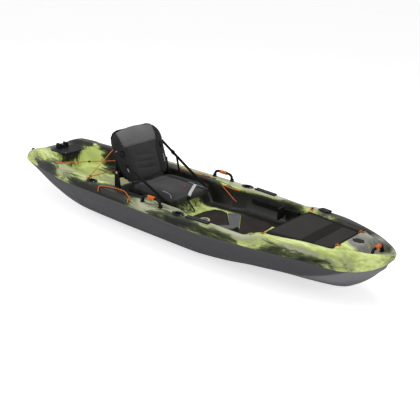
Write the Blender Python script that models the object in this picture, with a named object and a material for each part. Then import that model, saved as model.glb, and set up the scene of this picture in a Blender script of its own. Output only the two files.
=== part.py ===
"""Sit-on-top fishing kayak with a folding seat, deck fittings and shock cords.

Frame: metres, +X is the bow, +Y is port, +Z is up. The origin is on the ground
under the middle of the hull. Run in Blender 4.5.
"""
import math
from bisect import bisect_right

import bmesh
import bpy
from mathutils import Matrix, Vector

# Whole boat
LENGTH = 3.15
BEAM = 0.87
SHELL_WALL = 0.005
TOUCH_GAP = 0.0003
ROW_SPACING = 0.125

# Hull lines. Each row: share of the half length (stern -1, bow +1), then the value.
HALF_BREADTH = [(-1.0, 0.490), (-0.985, 0.520), (-0.95, 0.545), (-0.89, 0.60), (-0.76, 0.735),
                (-0.635, 0.84), (-0.51, 0.92), (-0.38, 0.966), (-0.25, 0.99), (-0.08, 1.0),
                (0.07, 1.0), (0.21, 0.985), (0.40, 0.925), (0.53, 0.860), (0.655, 0.765),
                (0.78, 0.630), (0.86, 0.510), (0.92, 0.395), (1.0, 0.230)]
NOSE_ROUNDING = 22
NOSE_OVERHANG = 0.045
SEAM_HEIGHT = [(-1.0, 0.264), (-0.94, 0.254), (-0.74, 0.266), (-0.60, 0.268), (-0.48, 0.280),
               (-0.30, 0.288), (-0.05, 0.286), (0.27, 0.268), (0.46, 0.278), (0.65, 0.280),
               (0.77, 0.268), (0.85, 0.252), (0.90, 0.256), (0.945, 0.270), (0.971, 0.285),
               (1.0, 0.335)]
GUNWALE_HEIGHT = [(-1.0, 0.312), (-0.985, 0.326), (-0.962, 0.346), (-0.93, 0.368), (-0.89, 0.382),
                  (-0.84, 0.380), (-0.76, 0.364), (-0.64, 0.354), (-0.47, 0.346), (-0.35, 0.346),
                  (-0.29, 0.338), (0.45, 0.338), (0.51, 0.358), (0.59, 0.364), (0.70, 0.374),
                  (0.95, 0.374), (1.0, 0.362)]
KEEL_HEIGHT = [(-1.0, 0.248), (-0.985, 0.228), (-0.965, 0.206), (-0.835, 0.096), (-0.74, 0.046),
               (-0.615, 0.010), (-0.52, 0.0), (0.50, 0.0), (0.616, 0.006), (0.743, 0.024),
               (0.804, 0.046), (0.859, 0.094), (0.913, 0.163), (0.950, 0.228), (0.972, 0.266),
               (1.0, 0.335)]
FULLNESS = [(-1.0, 0.5), (-0.6, 1.0), (0.14, 1.0), (0.30, 0.72), (0.47, 0.22), (0.62, 0.0),
            (1.0, 0.0)]
# Hull cross-section: share of the half breadth, then the rise in a full and in a veed section
SECTION = [(1.0, 1.0, 1.0), (0.965, 0.77, 0.72), (0.88, 0.52, 0.54), (0.70, 0.24, 0.43),
           (0.50, 0.06, 0.31), (0.28, 0.0, 0.16), (0.0, 0.0, 0.0)]

# Deck levels
STERN_DECK_Z = 0.350
TANK_FLOOR_Z = 0.200
SEAT_DECK_Z = 0.270
FOOT_FLOOR_Z = 0.185
BRIDGE_Z = 0.340
BOW_WELL_Z = 0.200
BOW_PANEL_RISE = 0.004
BOW_GROOVE = 0.016
BOW_PAD_Z = 0.330
WALL_RUN = 0.035

# Where the wells begin and end along the boat
TANK_REAR = -1.295
TANK_FRONT = -0.625
TANK_WAIST = -1.065
TANK_WIDE = -0.845
SEAT_FRONT = -0.095
FOOT_NARROW = 0.150
FOOT_WIDE = 0.250
BULKHEAD = 0.765
BOW_WELL_REAR = 0.835
BOW_WELL_FRONT = 1.215
BOW_PAD_REAR = 1.415
BOW_PAD_FRONT = 1.472

# Half widths of the mouth of each well
STERN_MOUTH = 0.155
TANK_MOUTH = 0.300
SEAT_MOUTH = 0.302
FOOT_MOUTH = 0.343
BOW_MOUTH_REAR = 0.266
BOW_MOUTH_FRONT = 0.206
WELL_DRAFT = 0.024

# Foam blocks inside the hull
FOAM_HALF_WIDTH = 0.100
SEAT_FOAM = (-0.445, -0.185)
FOOT_FOAM = (0.295, 0.575)
FOOT_FOAM_BASE = 0.036

# Stern fittings
PLATE_REAR = -1.420
PLATE_FRONT = -1.235
PLATE_HALF_WIDTH = 0.118
PLATE_THICKNESS = 0.006
BRACKET_X = -1.390
BRACKET_LENGTH = 0.050
BRACKET_WIDTH = 0.090
BRACKET_BASE = 0.005
BRACKET_EAR_RISE = 0.030
BRACKET_EAR_THICKNESS = 0.008
PLUG_FACET = (-1.545, -1.512)
PLUG_Y = -0.1845
PLUG_HEAD_RADIUS = 0.015
PLUG_HEAD_HEIGHT = 0.007
PLUG_STEM_RADIUS = 0.010
PLUG_STEM_LENGTH = 0.014
PLUG_GRIP = (0.026, 0.006, 0.007)

# Foam deck pads
PAD_THICKNESS = 0.006
PAD_REAR = 0.060
PAD_CHEVRON_REAR = 0.195
PAD_CHEVRON_POINT = 0.345
PAD_BAND = 0.080
PAD_FRONT = 0.580
PAD_HALF_WIDTH = 0.225
PAD_REAR_HALF_WIDTH = 0.175
PAD_SPLIT = 0.004

# Gear tracks and the gear block
TRACK_TO_HOLDER = 0.025
TRACK_INSET = 0.046
TRACK_LENGTH = 0.180
TRACK_WIDTH = 0.034
TRACK_HEIGHT = 0.011
TRACK_WALL = 0.0035
TRACK_SLOT = 0.010
BLOCK_X = 0.895
BLOCK_Y = 0.322
BLOCK_LENGTH = 0.090
BLOCK_WIDTH = 0.052
BLOCK_HEIGHT = 0.008

# Flush rod holders
HOLDER_REAR_X = -0.648
HOLDER_REAR_INSET = 0.054
HOLDER_MID_X = 0.200
HOLDER_MID_INSET = 0.048
HOLDER_BORE_RADIUS = 0.0200
HOLDER_WALL = 0.003
HOLDER_LENGTH = 0.112
HOLDER_FLANGE = (0.050, 0.035)
HOLDER_FLANGE_THICKNESS = 0.004

# Cup bosses moulded in the footwell walls
BOSS_X = 0.387
BOSS_RADIUS = 0.034
BOSS_BORE_RADIUS = 0.024
BOSS_DEPTH = 0.090
BOSS_REACH = 0.026
RECESS_X = 0.759
RECESS_Y = 0.325
RECESS_RADIUS = 0.021
RECESS_DEPTH = 0.050

# Foot braces
RAIL_REAR_STARBOARD = 0.465
RAIL_REAR_PORT = 0.300
RAIL_FRONT = 0.695
RAIL_MARGIN = 0.015
RAIL_Z = 0.272
RAIL_HEIGHT = 0.040
RAIL_DEPTH = 0.014
PEG_X = 0.580
PEG_LENGTH = 0.055
PEG_PLATE = (0.012, 0.070, 0.085)
PEG_CARRIAGE = 0.012

# Carry handles
SIDE_HANDLE_X = -0.033
SIDE_HANDLE_INSET = 0.042
SIDE_HANDLE_HALF_SPAN = 0.078
SIDE_HANDLE_RISE = 0.034
BOW_HANDLE_SETBACK = 0.120
BOW_HANDLE_MARGIN = 0.002
BOW_HANDLE_RISE = 0.032
HANDLE_RADIUS = 0.006
HANDLE_EYE_RADIUS = 0.010
HANDLE_EYE_WIDTH = 0.0124
HANDLE_PIN_RADIUS = 0.004
HANDLE_PIN_PLAY = 0.0006
GRIP_RADIUS = 0.011
GRIP_LENGTH = 0.060
GRIP_PLAY = 0.0007
ANCHOR_BASE = (0.026, 0.026, 0.004)
ANCHOR_LUG = 0.008
ANCHOR_FOOT = 0.003
ANCHOR_PIN_Z = 0.016

# Seat
SEAT_REAR = -0.524
SEAT_TRAY_FRONT = -0.034
SEAT_TRAY_HALF_WIDTH = 0.200
SEAT_EAR_REACH = 0.232
BRANCH_EAR_REACH = 0.262
SEAT_TRAY_HEIGHT = 0.022
CUSHION_REAR = -0.402
CUSHION_FRONT = -0.017
CUSHION_HALF_WIDTH = 0.215
CUSHION_SIDE = 0.040
CUSHION_CROWN = 0.018
HINGE_X = -0.497
HINGE_Z = 0.420
HINGE_PIN_RADIUS = 0.004
HINGE_PIN_PLAY = 0.0006
HINGE_HEAD_RADIUS = 0.009
HINGE_HEAD_HEIGHT = 0.004
LUG_THICKNESS = 0.008
LUG_WIDTH = 0.042
BACK_LEAN = math.radians(25)
BACK_HALF_WIDTH = 0.235
HUB_REACH = 0.254
BACK_BOTTOM = -0.092
BACK_TOP = 0.294
BACK_CORNER = 0.085
BACK_FRAME_THICKNESS = 0.010
BACK_BOSS_RADIUS = 0.012
BACK_BOSS_LENGTH = 0.046
BACK_CUSHION_HALF_WIDTH = 0.250
BACK_CUSHION_SIDE = 0.026
BACK_CUSHION_CROWN = 0.018
POUCH_TOP = 0.175
POUCH_JOIN = 0.100
POUCH_DROP = 0.079
POUCH_FRONT = -0.545
POUCH_REAR = -0.597
POUCH_HALF_WIDTH = 0.200
POUCH_EDGE = 0.010
CUSHION_PINCH = 0.055
CUSHION_CORNER = 0.17
BACK_CUSHION_CORNER = 0.30
CUSHION_CELLS = 16
CHANNEL_DEPTH = 0.007
CHANNEL_WIDTH = 0.014

# Seat webbing: the straps run from the back's sides to the tray's front ears
STRAP_WIDTH = 0.022
STRAP_THICKNESS = 0.002
STRAP_UPPER = (-0.553, 0.2555, 0.560)
STRAP_FOOT = (-0.050, 0.218, 0.3035)
STRAP_BRANCH_FOOT = (-0.332, 0.250, 0.2945)
STRAP_BRANCH_SHARE = 0.36
SLIDER_SHARE = 0.36
SLIDER_SIZE = (0.030, 0.030, 0.009)
SLIDER_SLIP = 0.045
SLIDER_PLAY = 0.0008
FRONT_STRAP_WIDTH = 0.024
FRONT_STRAP_LINE = [(-0.100, 0.145), (-0.082, 0.115), (-0.064, 0.080), (-0.046, 0.045),
                    (-0.034, 0.018)]
FRONT_STRAP_DROP = [(-0.019, -0.006, 0.341), (-0.0125, -0.018, 0.330), (-0.0115, -0.025, 0.3205)]
FRONT_BUCKLE_AT = (-0.011, -0.026, 0.298)
FRONT_BUCKLE = (0.010, 0.034, 0.026)
TETHER_FOOT = (0.010, 0.012)

# Bow well cover and its hooks
COVER_REAR = 0.807
COVER_FRONT = 1.243
COVER_SIDE_GAP = 0.004
COVER_LEDGE = 0.030
COVER_LIP = 0.006
COVER_CORE = 0.008
COVER_REBATE = 0.009
COVER_CORD_RADIUS = 0.0025
HOOK_RADIUS = 0.0045
HOOK_HEAD_RADIUS = 0.0075
HOOK_BASE_RADIUS = 0.0085
HOOK_BASE = 0.002
HOOK_LIFT = 0.0009
HOOK_RISE = 0.013
HOOK_HEAD = 0.003
REAR_HOOK = (0.815, 0.290)
FRONT_HOOK = (1.276, 0.146)

# Badge plate on the bow panel
BADGE_X = 1.325
BADGE_RADIUS = 0.042
BADGE_WIDTH_SHARE = 0.75
BADGE_THICKNESS = 0.003

# Shock cords
CORD_RADIUS = 0.003
CORD_LIFT = 0.0040
BEAD_RADIUS = 0.007
TANK_HOOK_PORT = (-0.660, 0.318)
TANK_HOOK_STARBOARD = (-0.712, -0.318)
TANK_CORD_END_X = -1.070
TANK_CORD_END_Y = 0.290
PADDLE_LINE_STARBOARD = [(-0.520, 0.400), (-0.472, 0.363), (-0.385, 0.346), (-0.324, 0.352),
                         (-0.262, 0.390)]
PADDLE_LINE_PORT = [(-0.480, 0.385), (-0.430, 0.345), (-0.365, 0.324), (-0.267, 0.323),
                    (-0.198, 0.327), (-0.150, 0.342)]
PADDLE_KNOT_PORT = (-0.133, 0.353)
WALL_CORD = [(0.190, 0.322), (FOOT_NARROW, 0.324), (0.046, 0.329), (0.038, 0.324), (0.044, 0.318),
             (0.100, 0.286), (FOOT_NARROW, 0.257), (0.178, 0.240)]

TRACK_X = HOLDER_MID_X + HOLDER_FLANGE[0] + TRACK_TO_HOLDER + TRACK_LENGTH / 2
STERN = -LENGTH / 2
BOW = LENGTH / 2
SIDES = (("starboard", -1), ("port", 1))
UPWARD = Vector((0, 0, 1))


def remove_all():
    for item in list(bpy.data.objects):
        bpy.data.objects.remove(item, do_unlink=True)


def material(name, colour, roughness, metallic=0.0):
    mat = bpy.data.materials.new(name)
    mat.use_nodes = True
    shader = mat.node_tree.nodes["Principled BSDF"]
    shader.inputs["Base Color"].default_value = (*colour, 1.0)
    shader.inputs["Roughness"].default_value = roughness
    shader.inputs["Metallic"].default_value = metallic
    return mat


def add_mesh(name, verts, faces, mat, smooth_angle=30):
    mesh = bpy.data.meshes.new(name)
    mesh.from_pydata([tuple(v) for v in verts], [], faces)
    return add_object(name, mesh, mat, smooth_angle)


def add_object(name, mesh, mat, smooth_angle=30):
    if mat:
        mesh.materials.append(mat)
    mesh.shade_smooth()
    mesh.set_sharp_from_angle(angle=math.radians(smooth_angle))
    obj = bpy.data.objects.new(name, mesh)
    bpy.context.scene.collection.objects.link(obj)
    return obj


def from_bmesh(name, bm, mat, smooth_angle=30):
    bmesh.ops.recalc_face_normals(bm, faces=bm.faces)
    mesh = bpy.data.meshes.new(name)
    bm.to_mesh(mesh)
    bm.free()
    return add_object(name, mesh, mat, smooth_angle)


def prism(name, outline, low, high, mat, matrix=None):
    """Flat outline in X and Y, raised from low to high, then placed by the matrix."""
    bm = bmesh.new()
    base = [bm.verts.new((x, y, low)) for x, y in outline]
    top = [bm.verts.new((x, y, high)) for x, y in outline]
    count = len(outline)
    bm.faces.new(base[::-1])
    bm.faces.new(top)
    for i in range(count):
        j = (i + 1) % count
        bm.faces.new((base[i], base[j], top[j], top[i]))
    if matrix:
        bm.transform(matrix)
    return from_bmesh(name, bm, mat)


def block(name, low, high, mat, matrix=None):
    outline = [(low[0], low[1]), (high[0], low[1]), (high[0], high[1]), (low[0], high[1])]
    return prism(name, outline, low[2], high[2], mat, matrix)


def round_outline(radius_x, radius_y, sides, centre=(0.0, 0.0)):
    step = 2 * math.pi / sides
    return [(centre[0] + radius_x * math.cos(step * i), centre[1] + radius_y * math.sin(step * i))
            for i in range(sides)]


def rod(name, radius, start, end, mat, sides=16):
    """Round bar from start to end."""
    start, end = Vector(start), Vector(end)
    turn = (end - start).to_track_quat("Z", "Y").to_matrix().to_4x4()
    place = Matrix.Translation(start) @ turn
    return prism(name, round_outline(radius, radius, sides), 0.0, (end - start).length, mat, place)


def tube(name, points, radius, mat, closed=False, resolution=2):
    """Cord or bent bar: a bevelled curve through the points, with filled caps."""
    curve = bpy.data.curves.new(name, "CURVE")
    curve.dimensions = "3D"
    curve.bevel_depth = radius
    curve.bevel_resolution = resolution
    curve.use_fill_caps = True
    line = curve.splines.new("POLY")
    line.points.add(len(points) - 1)
    for point, place in zip(line.points, points):
        point.co = (*place, 1.0)
    line.use_cyclic_u = closed
    curve.materials.append(mat)
    obj = bpy.data.objects.new(name, curve)
    bpy.context.scene.collection.objects.link(obj)
    return obj


def as_mesh(obj):
    """The object's evaluated shape as a plain mesh object with the same name."""
    graph = bpy.context.evaluated_depsgraph_get()
    mesh = bpy.data.meshes.new_from_object(obj.evaluated_get(graph))
    name = obj.name
    bpy.data.objects.remove(obj, do_unlink=True)
    made = bpy.data.objects.new(name, mesh)
    bpy.context.scene.collection.objects.link(made)
    return made


def boolean(target, tool, operation):
    tool.hide_render = True
    tool.display_type = "WIRE"
    step = target.modifiers.new(tool.name, "BOOLEAN")
    step.operation = operation
    step.object = tool
    step.solver = "EXACT"


def cut(target, tool):
    boolean(target, tool, "DIFFERENCE")


def join(target, tool):
    boolean(target, tool, "UNION")


def spread(points, per_span):
    """Points on a smooth curve through the given ones."""
    line = [Vector(p) for p in points]
    line = [2 * line[0] - line[1]] + line + [2 * line[-1] - line[-2]]
    made = []
    for i in range(1, len(line) - 2):
        before, start, end, after = line[i - 1:i + 3]
        for k in range(per_span):
            t = k / per_span
            made.append(0.5 * (2 * start + (end - before) * t
                               + (2 * before - 5 * start + 4 * end - after) * t * t
                               + (3 * start - before - 3 * end + after) * t ** 3))
    made.append(line[-2])
    return made


def read(table, x):
    """Monotone cubic through (x, value) pairs; it is level between equal values."""
    if x <= table[0][0]:
        return table[0][1]
    if x >= table[-1][0]:
        return table[-1][1]
    runs = [b[0] - a[0] for a, b in zip(table, table[1:])]
    rises = [(b[1] - a[1]) / (b[0] - a[0]) for a, b in zip(table, table[1:])]
    slopes = [rises[0]]
    for i in range(1, len(rises)):
        left, right = rises[i - 1], rises[i]
        slopes.append(0.0 if left * right <= 0 else 2 * left * right / (left + right))
    slopes.append(rises[-1])
    i = bisect_right([row[0] for row in table], x) - 1
    run = runs[i]
    t = (x - table[i][0]) / run
    return ((1 + 2 * t) * (1 - t) ** 2 * table[i][1] + t * (1 - t) ** 2 * run * slopes[i]
            + t * t * (3 - 2 * t) * table[i + 1][1] - t * t * (1 - t) * run * slopes[i + 1])


def straight(table, x, column):
    """Straight-line reading of one column of a table of rows sorted by x."""
    for low, high in zip(table, table[1:]):
        if x <= high[0]:
            share = max(0.0, (x - low[0]) / (high[0] - low[0]))
            return low[column] + share * (high[column] - low[column])
    return table[-1][column]


def share_of_length(x):
    return x / (LENGTH / 2)


def half_breadth(x, bow=None):
    """Half breadth in plan, rounded off at the bow: at the deck's nose unless told where."""
    reach = max(0.0, x) / (bow or BOW)
    nose = math.sqrt(max(0.0, 1 - reach ** NOSE_ROUNDING))
    return BEAM / 2 * read(HALF_BREADTH, share_of_length(x)) * nose


def seam_breadth(x):
    """Half breadth at the seam, whose tip lies behind the deck's nose."""
    return half_breadth(x, BOW - NOSE_OVERHANG)


def seam_z(x):
    return read(SEAM_HEIGHT, share_of_length(x))


def gunwale_z(x):
    return read(GUNWALE_HEIGHT, share_of_length(x))


def wells():
    """Rows of x, mouth half width, floor half width, floor height and groove depth."""
    draft = WELL_DRAFT
    return [
        (STERN, STERN_MOUTH, STERN_MOUTH - draft, gunwale_z(STERN), 0.0),
        (STERN + 0.03, STERN_MOUTH, STERN_MOUTH - draft, gunwale_z(STERN + 0.03), 0.0),
        (STERN + 0.10, STERN_MOUTH, STERN_MOUTH - draft, STERN_DECK_Z, 0.0),
        (TANK_REAR, STERN_MOUTH + draft, STERN_MOUTH, STERN_DECK_Z, 0.0),
        (TANK_REAR + WALL_RUN, STERN_MOUTH + 2 * draft, STERN_MOUTH + draft, TANK_FLOOR_Z, 0.0),
        (TANK_WAIST, TANK_MOUTH - 0.035, TANK_MOUTH - 0.035 - draft, TANK_FLOOR_Z, 0.0),
        (TANK_WIDE, TANK_MOUTH, TANK_MOUTH - draft, TANK_FLOOR_Z, 0.0),
        (TANK_FRONT, TANK_MOUTH, TANK_MOUTH - draft, TANK_FLOOR_Z, 0.0),
        (TANK_FRONT + WALL_RUN, TANK_MOUTH, TANK_MOUTH - draft / 2, SEAT_DECK_Z, 0.0),
        (SEAT_FRONT, SEAT_MOUTH, SEAT_MOUTH - draft, SEAT_DECK_Z, 0.0),
        (SEAT_FRONT + 2 * WALL_RUN, SEAT_MOUTH, SEAT_MOUTH - 2 * draft, FOOT_FLOOR_Z, 0.0),
        (FOOT_NARROW, SEAT_MOUTH, SEAT_MOUTH - 2 * draft, FOOT_FLOOR_Z, 0.0),
        (FOOT_WIDE, FOOT_MOUTH, FOOT_MOUTH - 2 * draft, FOOT_FLOOR_Z, 0.0),
        (RAIL_FRONT + RAIL_MARGIN, FOOT_MOUTH, FOOT_MOUTH - 2 * draft, FOOT_FLOOR_Z, 0.0),
        (BULKHEAD, BOW_MOUTH_REAR + 0.020, BOW_MOUTH_REAR - draft, FOOT_FLOOR_Z, 0.0),
        (BULKHEAD + WALL_RUN, BOW_MOUTH_REAR + 0.006, BOW_MOUTH_REAR - draft, BRIDGE_Z, 0.0),
        (BOW_WELL_REAR, BOW_MOUTH_REAR, BOW_MOUTH_REAR - draft, BRIDGE_Z, 0.0),
        (BOW_WELL_REAR + WALL_RUN, BOW_MOUTH_REAR - 0.005, BOW_MOUTH_REAR - 0.005 - draft,
         BOW_WELL_Z, 0.0),
        (BOW_WELL_FRONT - WALL_RUN, BOW_MOUTH_FRONT + 0.005, BOW_MOUTH_FRONT + 0.005 - draft,
         BOW_WELL_Z, 0.0),
        (BOW_WELL_FRONT, BOW_MOUTH_FRONT, BOW_MOUTH_FRONT - draft, BRIDGE_Z, 0.0),
        (COVER_FRONT + 0.010, BOW_MOUTH_FRONT - 0.004, BOW_MOUTH_FRONT - 0.004 - draft,
         BRIDGE_Z, 0.0),
        (COVER_FRONT + 0.020, BOW_MOUTH_FRONT - 0.006, BOW_MOUTH_FRONT - 0.006 - draft,
         gunwale_z(COVER_FRONT) + BOW_PANEL_RISE, 0.0),
        (COVER_FRONT + 0.050, BOW_MOUTH_FRONT - 0.020, BOW_MOUTH_FRONT - 0.020 - draft,
         gunwale_z(COVER_FRONT) + BOW_PANEL_RISE, BOW_GROOVE),
        (BADGE_X + 0.046, 0.140, 0.114, gunwale_z(COVER_FRONT) + BOW_PANEL_RISE, BOW_GROOVE),
        (BOW_PAD_REAR, 0.118, 0.106, BOW_PAD_Z, 0.0),
        (BOW_PAD_FRONT, 0.104, 0.092, BOW_PAD_Z, 0.0),
        (BOW, 0.0, 0.0, gunwale_z(BOW), 0.0),
    ]


def deck_section(x):
    """Half section of the deck, from the seam to the middle, as (y, z)."""
    rows = wells()
    breadth = half_breadth(x)
    ease = min(1.0, breadth / 0.12)
    seam = seam_z(x) + TOUCH_GAP
    foot_y = min(seam_breadth(x), breadth)
    flare = breadth - foot_y
    top = gunwale_z(x)
    mouth = min(straight(rows, x, 1), breadth - 0.044 * ease)
    floor = min(straight(rows, x, 2), mouth - 0.012 * ease)
    floor_z = straight(rows, x, 3)
    groove = straight(rows, x, 4) * ease
    lean = mouth - floor
    depth = top - floor_z
    foot = min(0.012, max(0.0, depth) / 4)
    inset = 0.010 * ease * min(1.0, max(0.0, depth) / 0.08)
    upper = (mouth, top - 0.008 * ease)
    lower = (mouth - lean / 4, top - depth / 2 - groove)
    corner = (floor + lean / 4, floor_z + foot - groove)
    if BULKHEAD + WALL_RUN - 0.001 < x < COVER_FRONT + 0.011:
        # A level ledge round the bow well carries the cover
        floor = mouth - COVER_LEDGE - 0.006
        upper, lower = (mouth, BRIDGE_Z), (mouth - COVER_LEDGE, BRIDGE_Z)
        corner = (floor, min(BRIDGE_Z, floor_z + foot))
    return [(foot_y, seam),
            (breadth - 0.003 * ease - 0.35 * flare, seam + 0.4 * (top - seam)),
            (breadth - 0.006 * ease, top - 0.024 * ease),
            (breadth - 0.013 * ease, top - 0.007 * ease),
            (breadth - 0.026 * ease, top),
            (mouth + 0.012 * ease, top),
            upper,
            lower,
            corner,
            (floor - inset, floor_z),
            (floor / 2, floor_z),
            (0.0, floor_z)]


def hull_section(x):
    """Half section of the hull, from the seam to the keel, as (y, z)."""
    breadth = seam_breadth(x)
    share = share_of_length(x)
    keel = read(KEEL_HEIGHT, share)
    full = read(FULLNESS, share)
    rise = seam_z(x) - keel
    return [(breadth * u, keel + rise * (full * v_full + (1 - full) * v_fine))
            for u, v_full, v_fine in SECTION]


def row_places():
    """Where the cross-sections stand: at each change in the deck, and evenly between."""
    fixed = sorted({round(row[0], 4) for row in wells()}
                   | {round(s * LENGTH / 2, 4) for s in (-0.985, -0.96, 0.89, 0.92, 0.945,
                                                         0.961, 0.986, 0.995)}
                   | {round(BOW - NOSE_OVERHANG, 4)})
    places = []
    for low, high in zip(fixed, fixed[1:]):
        count = max(1, math.ceil((high - low) / ROW_SPACING))
        places += [low + (high - low) * k / count for k in range(count)]
    return places + [fixed[-1]]


def rim_direction(point):
    """Level direction straight out of the boat at a point on the seam."""
    x, y, _ = point
    breadth = seam_breadth(x)
    if x < STERN + 1e-5:
        side = 0.0 if abs(y) < breadth - 1e-5 else math.copysign(1.0, y)
        return Vector((-1.0, side, 0.0)).normalized()
    if breadth < 1e-5:
        return Vector((1.0, 0.0, 0.0))
    step = 0.004
    slope = (seam_breadth(x + step) - seam_breadth(x - step)) / (2 * step)
    return Vector((-slope, math.copysign(1.0, y), 0.0)).normalized()


def shell(name, section, stern_z, bow, mat):
    """Closed shell: the sections as its outer face, an inner face one wall away, and a rim."""
    rows = []
    for x in [place for place in row_places() if place <= bow + 1e-6]:
        half = section(x)
        rows.append([(x, -y, z) for y, z in half] + [(x, y, z) for y, z in half[-2::-1]])
    rows.insert(0, [(STERN, y, stern_z) for _, y, _ in rows[0]])
    bm = bmesh.new()
    grid = [[bm.verts.new(p) for p in row] for row in rows]
    for low, high in zip(grid, grid[1:]):
        for j in range(len(low) - 1):
            bm.faces.new((low[j], high[j], high[j + 1], low[j + 1]))
    bmesh.ops.remove_doubles(bm, verts=bm.verts, dist=1e-5)
    bmesh.ops.recalc_face_normals(bm, faces=bm.faces)
    upward = sum(face.normal.z * face.calc_area() for face in bm.faces)
    if (upward > 0) != (section is deck_section):
        bmesh.ops.reverse_faces(bm, faces=bm.faces)
    bm.normal_update()
    outer = list(bm.faces)
    inner = {}
    for v in list(bm.verts):
        out = rim_direction(v.co) if v.is_boundary else v.normal
        inner[v] = bm.verts.new(v.co - out * SHELL_WALL)
    rim = [e for e in bm.edges if e.is_boundary]
    for face in outer:
        bm.faces.new([inner[v] for v in reversed(face.verts)])
    for edge in rim:
        loop = edge.link_loops[0]
        a, b = loop.vert, loop.link_loop_next.vert
        # Both shells split the rim the same way, so their rims stay one gap apart
        if (b.co.x, b.co.y) > (a.co.x, a.co.y):
            halves = (b, a, inner[a]), (b, inner[a], inner[b])
        else:
            halves = (b, a, inner[b]), (a, inner[a], inner[b])
        for half in halves:
            bm.faces.new(half)
    return from_bmesh(name, bm, mat, 35)


def on_gunwale(x, side, inset):
    """Place on the gunwale's top: its point, and the way it runs in plan."""
    y = side * (half_breadth(x) - inset)
    step = 0.05
    heading = math.atan2(side * (half_breadth(x + step) - half_breadth(x - step)), 2 * step)
    return Matrix.Translation((x, y, gunwale_z(x) + TOUCH_GAP)) @ Matrix.Rotation(heading, 4, "Z")


def build_shells(mats):
    shell("hull_shell", hull_section, seam_z(STERN), BOW - NOSE_OVERHANG, mats["hull"])
    return shell("deck_shell", deck_section, seam_z(STERN) + TOUCH_GAP, BOW, mats["deck"])


def build_bosses(deck):
    """Cup boss in the starboard footwell wall, and the round recess ahead of it."""
    y = -(FOOT_MOUTH - BOSS_REACH + BOSS_RADIUS / 2)
    top = gunwale_z(BOSS_X) - TOUCH_GAP
    join(deck, rod("boss", BOSS_RADIUS, (BOSS_X, y, FOOT_FLOOR_Z - SHELL_WALL / 2),
                   (BOSS_X, y, top), None, 20))
    cut(deck, rod("boss_bore", BOSS_BORE_RADIUS, (BOSS_X, y, top - BOSS_DEPTH),
                  (BOSS_X, y, top + 0.02), None, 20))
    x, y = RECESS_X, -RECESS_Y
    bottom = gunwale_z(RECESS_X) - RECESS_DEPTH
    low_lip = gunwale_z(RECESS_X - RECESS_RADIUS - SHELL_WALL)
    join(deck, rod("recess_cup", RECESS_RADIUS + SHELL_WALL, (x, y, bottom - SHELL_WALL),
                   (x, y, low_lip - SHELL_WALL / 2), None, 20))
    cut(deck, rod("recess_bore", RECESS_RADIUS, (x, y, bottom), (x, y, bottom + 2 * RECESS_DEPTH),
                  None, 20))


def build_foam(mats):
    for name, span, low, floor in (
            ("foam_block_seat", SEAT_FOAM, SHELL_WALL + TOUCH_GAP, SEAT_DECK_Z),
            ("foam_block_footwell", FOOT_FOAM, FOOT_FOAM_BASE, FOOT_FLOOR_Z)):
        high = floor - SHELL_WALL - TOUCH_GAP
        block(name, (span[0], -FOAM_HALF_WIDTH, low), (span[1], FOAM_HALF_WIDTH, high),
              mats["foam"])


def build_stern(mats):
    low = STERN_DECK_Z + TOUCH_GAP
    corner = 0.030
    rear, front = PLATE_REAR, PLATE_FRONT
    half = PLATE_HALF_WIDTH
    outline = [(rear, -half + corner), (rear + corner, -half), (front - corner, -half),
               (front, -half + corner), (front, half - corner), (front - corner, half),
               (rear + corner, half), (rear, half - corner)]
    prism("stern_plate", outline, low, low + PLATE_THICKNESS, mats["black_plastic"])
    base = low + PLATE_THICKNESS + TOUCH_GAP
    x0 = BRACKET_X - BRACKET_LENGTH / 2
    half_w = BRACKET_WIDTH / 2
    rise = BRACKET_BASE + BRACKET_EAR_RISE
    ear = half_w - BRACKET_EAR_THICKNESS
    outline = [(-half_w, 0.0), (half_w, 0.0), (half_w, rise * 0.7), (half_w - 0.004, rise),
               (ear - 0.012, rise), (ear - 0.006, BRACKET_BASE + 0.006), (0.012, BRACKET_BASE),
               (0.006, rise * 0.55), (-0.006, rise * 0.55), (-0.012, BRACKET_BASE),
               (-ear + 0.006, BRACKET_BASE + 0.006), (-ear + 0.012, rise),
               (-half_w + 0.004, rise), (-half_w, rise * 0.7)]
    stand = Matrix(((0, 0, 1, x0), (1, 0, 0, 0), (0, 1, 0, base), (0, 0, 0, 1)))
    prism("stern_bracket", outline, 0.0, BRACKET_LENGTH, mats["black_plastic"], stand)


def build_drain_plug(deck, mats):
    """Screw plug on the sloping end of the starboard stern lobe; it turns about its own axis."""
    low, high = (Vector((x, PLUG_Y, gunwale_z(x))) for x in PLUG_FACET)
    turn = Matrix.Rotation(-math.atan2(high.z - low.z, high.x - low.x), 4, "Y")
    place = Matrix.Translation((low + high) / 2) @ turn @ Matrix.Translation((0, 0, TOUCH_GAP))
    head = rod("drain_plug", PLUG_HEAD_RADIUS, (0, 0, 0), (0, 0, PLUG_HEAD_HEIGHT),
               mats["black_plastic"], 24)
    stem = rod("plug_stem", PLUG_STEM_RADIUS, (0, 0, -PLUG_STEM_LENGTH),
               (0, 0, PLUG_HEAD_HEIGHT / 2), None, 20)
    length, width, rise = PLUG_GRIP
    grip = block("plug_grip", (-length / 2, -width / 2, PLUG_HEAD_HEIGHT / 2),
                 (length / 2, width / 2, PLUG_HEAD_HEIGHT + rise), None)
    hole = rod("plug_hole", PLUG_STEM_RADIUS + 2 * TOUCH_GAP, (0, 0, -0.030), (0, 0, 0.010),
               None, 20)
    for piece in (head, stem, grip, hole):
        piece.matrix_world = place
    join(head, stem)
    join(head, grip)
    cut(deck, hole)


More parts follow.
